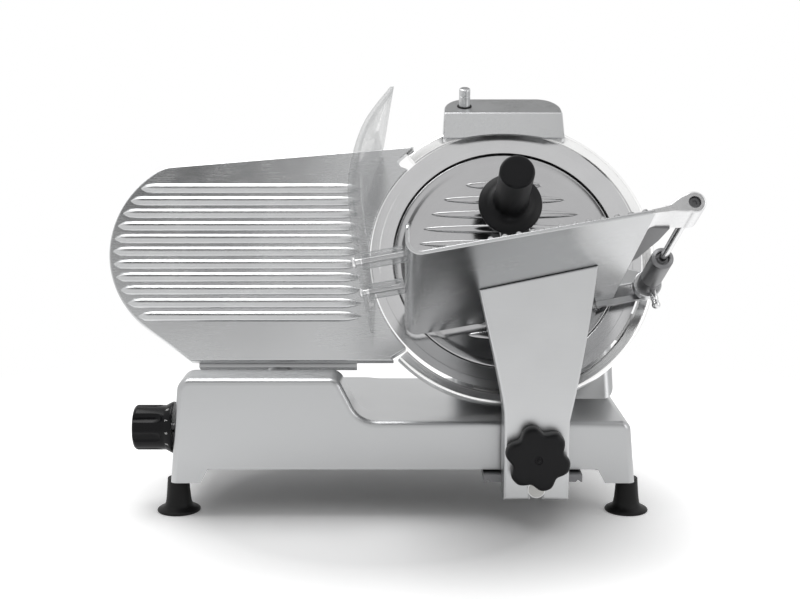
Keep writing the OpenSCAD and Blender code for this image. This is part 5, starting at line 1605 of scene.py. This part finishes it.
@dataclass
class Dial:
    """The index dial: a fluted barrel and a skirt with numbers."""

    face: float = -243.472
    depth: float = 34.0
    height: float = 89.0
    radius: float = 24.0
    skirt: float = 27.5
    length: float = 34.0
    flutes: int = 7
    numbers: int = 11

    def place(self) -> Matrix:
        """Frame of the dial, with Z out to the left and X down."""
        return LAYOUT.base() @ move(self.face, self.depth, self.height) @ rotate(-90, "Y")

    def barrel(self, copier: Copier) -> None:
        """The barrel with its flutes.

        Args:
            copier: What repeats the cutters of the flutes.
        """
        r, end, start = self.radius, 9 + self.length, 9.0
        profile = ([(0, 0), (self.skirt - 0.6, 0), (self.skirt, 0.6), (self.skirt, 2.6), (r + 0.4,
            start - 0.6),
                    (r, start + 0.4), (r, end - 4)] + arc((r - 4, end - 4), 4, 10, 90, 6) + [(0, end)])
        blank = Blank("dial_barrel", Form().lathe(profile, 168), self.place())
        cutter = Form().loft([[(r + 5.6 + k * math.cos(a), k * 1.15 * math.sin(a), z) for a in
                               (math.radians(360 * i / 24) for i in range(24))]
                              for k, z in ((0.5, start + 1), (4.0, start + 1.8), (6.6, start + 4), (7.6,
                                  start + 7),
                                           (7.9, start + 12), (7.9, end + 3))])
        tools = copier.repeat("flute_tools", cutter, Matrix.Identity(4), GLOSS_BLACK, self.flutes,
                              turn=360 / self.flutes)
        tools.piece.data.transform(self.place())
        blank.carve(tools.piece)
        blank.round_edges(1.0, 3, 28, lambda p: p.z > start + 0.6)
        blank.fit(GLOSS_BLACK, Body.INDEX, Slot.BLACK, "index_knob", crease=45, flat=False)

    def figures(self) -> None:
        """Small pale numbers on the skirt, from 0 upwards."""
        made = Form()
        for i in range(self.numbers):
            curve = bpy.data.curves.new("figure", "FONT")
            curve.body, curve.size, curve.extrude = str(i), 5.4 * METRE, 0.00005
            curve.align_x, curve.align_y = "CENTER", "CENTER"
            text = link("figure", curve)
            mesh = bpy.data.meshes.new_from_object(text.evaluated_get(bpy.context.evaluated_depsgraph_get()))
            spread = rotate(90 + 30 * i, "Z")
            lie = (move(self.radius + 1.95, 0, 5.8) @ rotate(62, "Y")
                   @ rotate(90, "Z"))
            made.add([v.co / METRE for v in mesh.vertices], [tuple(f.vertices) for f in mesh.polygons],
                     spread @ lie)
            bpy.data.objects.remove(text)
            bpy.data.curves.remove(curve)
            bpy.data.meshes.remove(mesh)
        Blank("dial_figures", made, self.place()).fit(NUMBERS, Body.INDEX, Slot.BLACK, flat=False)

    def build(self, copier: Copier) -> None:
        """Builds the sub-assembly.

        Args:
            copier: What repeats shapes.
        """
        self.barrel(copier)
        self.figures()


@dataclass(frozen=True)
class Studio:
    """Pale floor and surround, soft lamps and the camera at the photograph's place, in metres."""

    white: Colour = (1.0, 1.0, 1.0)
    floor_size: float = 24.0
    floor_tone: Colour = (0.92, 0.92, 0.92)
    # Distances in metres where the floor's painted glow starts and ends, and its strength there
    lift: tuple[float, float, float, float] = (0.18, 0.36, 0.02, 0.6)
    fade: tuple[float, float, float, float] = (0.42, 0.9, 0.0, 1.0)
    camera_place: tuple[float, float, float] = (0.0195, -1.41218, 0.45)
    camera_tilt: float = 81.0
    camera_sees: Flat = (0.05, 60)
    sensor: float = 36.0
    lens: float = 60.75

    def surround(self) -> None:
        """A world that is white to the eye and dims softly towards the operator's side."""
        world = bpy.data.worlds.new("surround")
        bpy.context.scene.world = world
        desk = clear_desk(world)
        where = desk.node("ShaderNodeTexCoord", None, None, "Generated")
        level = desk.span(desk.axis(where, 1) * 0.6 + desk.axis(where, 2) * 0.55, -0.7, 0.8, 0.2, 0.62)
        grey = desk.node("ShaderNodeCombineXYZ", None, {0: level, 1: level, 2: level})
        light = desk.node("ShaderNodeBackground", None, {
            "Color": desk.mix(desk.seen(), grey, self.white), "Strength": 1.0})
        desk.node("ShaderNodeOutputWorld", None, {0: light})

    def panel(self, name: str, size: Flat, material: str) -> tuple[bpy.types.Object, Desk]:
        """Makes a flat rectangle with a material of its own.

        Args:
            name: Its name.
            size: Its width and height.
            material: The material's name.

        Returns:
            The rectangle and the desk of its material.
        """
        x, y = size[0] / 2, size[1] / 2
        mesh = bpy.data.meshes.new(name)
        mesh.from_pydata([(-x, -y, 0), (x, -y, 0), (x, y, 0), (-x, y, 0)], [], [(0, 1, 2, 3)])
        mesh.materials.append(bpy.data.materials.new(material))
        return link(name, mesh), clear_desk(mesh.materials[0])

    def aim(self, thing: bpy.types.Object, place: Sequence[float], target: Sequence[float],
            axis: str) -> None:
        """Places a thing and turns it.

        Args:
            thing: The card or lamp.
            place: Where it stands.
            target: What it faces.
            axis: Which of its axes points there.
        """
        thing.location = place
        thing.rotation_euler = (Vector(target) - Vector(place)).to_track_quat(axis, "Y").to_euler()

    def floor(self) -> None:
        """A pale floor that keeps the shadow under the machine, with a painted glow that grows with distance from
        it, and plain white to the eye farther away.
        """
        floor, desk = self.panel("floor", (self.floor_size, self.floor_size), "pale_floor")
        share = desk.seen()
        away = desk.node("ShaderNodeVectorMath", {"operation": "LENGTH"}, {0: desk.position()}, "Value")
        matt = desk.node("ShaderNodeBsdfDiffuse", None, {"Color": (*self.floor_tone, 1)})
        # Painted glow: the floor lights up more the farther it lies from the machine, so the shadow fades out
        # faster than a real one
        lift = desk.glow(self.white, share * desk.span(away, *self.lift))
        lit = desk.node("ShaderNodeAddShader", None, {0: matt, 1: lift})
        far = share * desk.span(away, *self.fade)
        shader = desk.node("ShaderNodeMixShader", None, {0: far, 1: lit, 2: desk.glow(self.white, 1.0)})
        desk.node("ShaderNodeOutputMaterial", None, {0: shader})

    def card(self, name: str, place: Sequence[float], target: Sequence[float], size: Flat,
             shade: float) -> None:
        """Adds a grey card out of the camera's sight, which gives the metal its darker reflections.

        Args:
            name: Its name.
            place: Where it stands.
            target: What it faces.
            size: Its width and height.
            shade: Its grey.
        """
        card, desk = self.panel(name, size, name)
        self.aim(card, place, target, "Z")
        card.visible_camera = card.visible_shadow = card.visible_diffuse = False
        desk.node("ShaderNodeOutputMaterial", None, {0: desk.glow((shade, shade, shade), 1.0)})

    def lamp(self, name: str, place: Sequence[float], target: Sequence[float], size: Flat,
             power: float) -> None:
        """Adds a soft lamp.

        Args:
            name: Its name.
            place: Where it hangs.
            target: What it points at.
            size: Its width and height.
            power: Its power in watts.
        """
        light = bpy.data.lights.new(name, "AREA")
        light.shape, light.size, light.size_y, light.energy = "RECTANGLE", size[0], size[1], power
        self.aim(link(name, light), place, target, "-Z")

    def camera(self) -> None:
        """The camera, fitted to the photograph."""
        data = bpy.data.cameras.new("camera")
        data.sensor_width, data.lens = self.sensor, self.lens
        data.clip_start, data.clip_end = self.camera_sees
        camera = link("camera", data)
        camera.location = self.camera_place
        camera.rotation_euler = (math.radians(self.camera_tilt), 0, 0)
        bpy.context.scene.camera = camera

    def build(self) -> None:
        """Builds the studio."""
        bpy.context.scene.view_settings.view_transform = "Standard"
        self.surround()
        self.floor()
        self.card("left_card", (-0.95, -1.55, 3.0), (-0.2, 0, 0.25), (1.6, 1.7), 0.02)
        self.card("right_card", (1.0, -1.6, 1.75), (0.15, 0, 0.25), (0.6, 1.3), 0.06)
        self.card("back_card", (0.1, 1.9, 2.0), (0.1, 0, 0.3), (2.0, 0.9), 0.25)
        self.lamp("top_lamp", (-0.4, 0.2, 1.7), (0, 0, 0.1), (1.3, 0.9), 14)
        self.lamp("side_lamp", (1.5, -0.9, 1.0), (0.1, 0, 0.2), (0.7, 1.2), 4)
        self.camera()


def dress_nodes() -> None:
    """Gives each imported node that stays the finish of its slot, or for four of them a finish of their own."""
    slot_of = {row["node"]: Slot(row["material_slot"]) for row in frame["record"]["subparts"]}
    # carriage_slide and support_bar take the darker aluminium: painted shade under the base
    special = {"guard_spacers": CLEAR_TUBE, "gauge_bracket": PLAIN, "carriage_slide": SHADED_ALUMINIUM,
               "support_bar": SHADED_ALUMINIUM}
    for name, node in frame["nodes"].items():
        if node.hide_render:
            continue
        finish = special.get(name, SLOT_FINISH[slot_of[name]])
        node.data.materials.clear()
        node.data.materials.append(finish.material())
        LOG.info("%s keeps its packed shape", name)


def main() -> None:
    """Builds every class in order."""
    logging.basicConfig(level=logging.INFO, format="%(message)s")
    copier = Copier()
    Stand().build(copier)
    BladeHead().build(copier)
    Gauge().build(copier)
    Sharpener().build()
    Carriage().build(copier)
    Pusher().build()
    Guard().build()
    Dial().build(copier)
    dress_nodes()
    Studio().build()


if __name__ == "__main__":
    main()
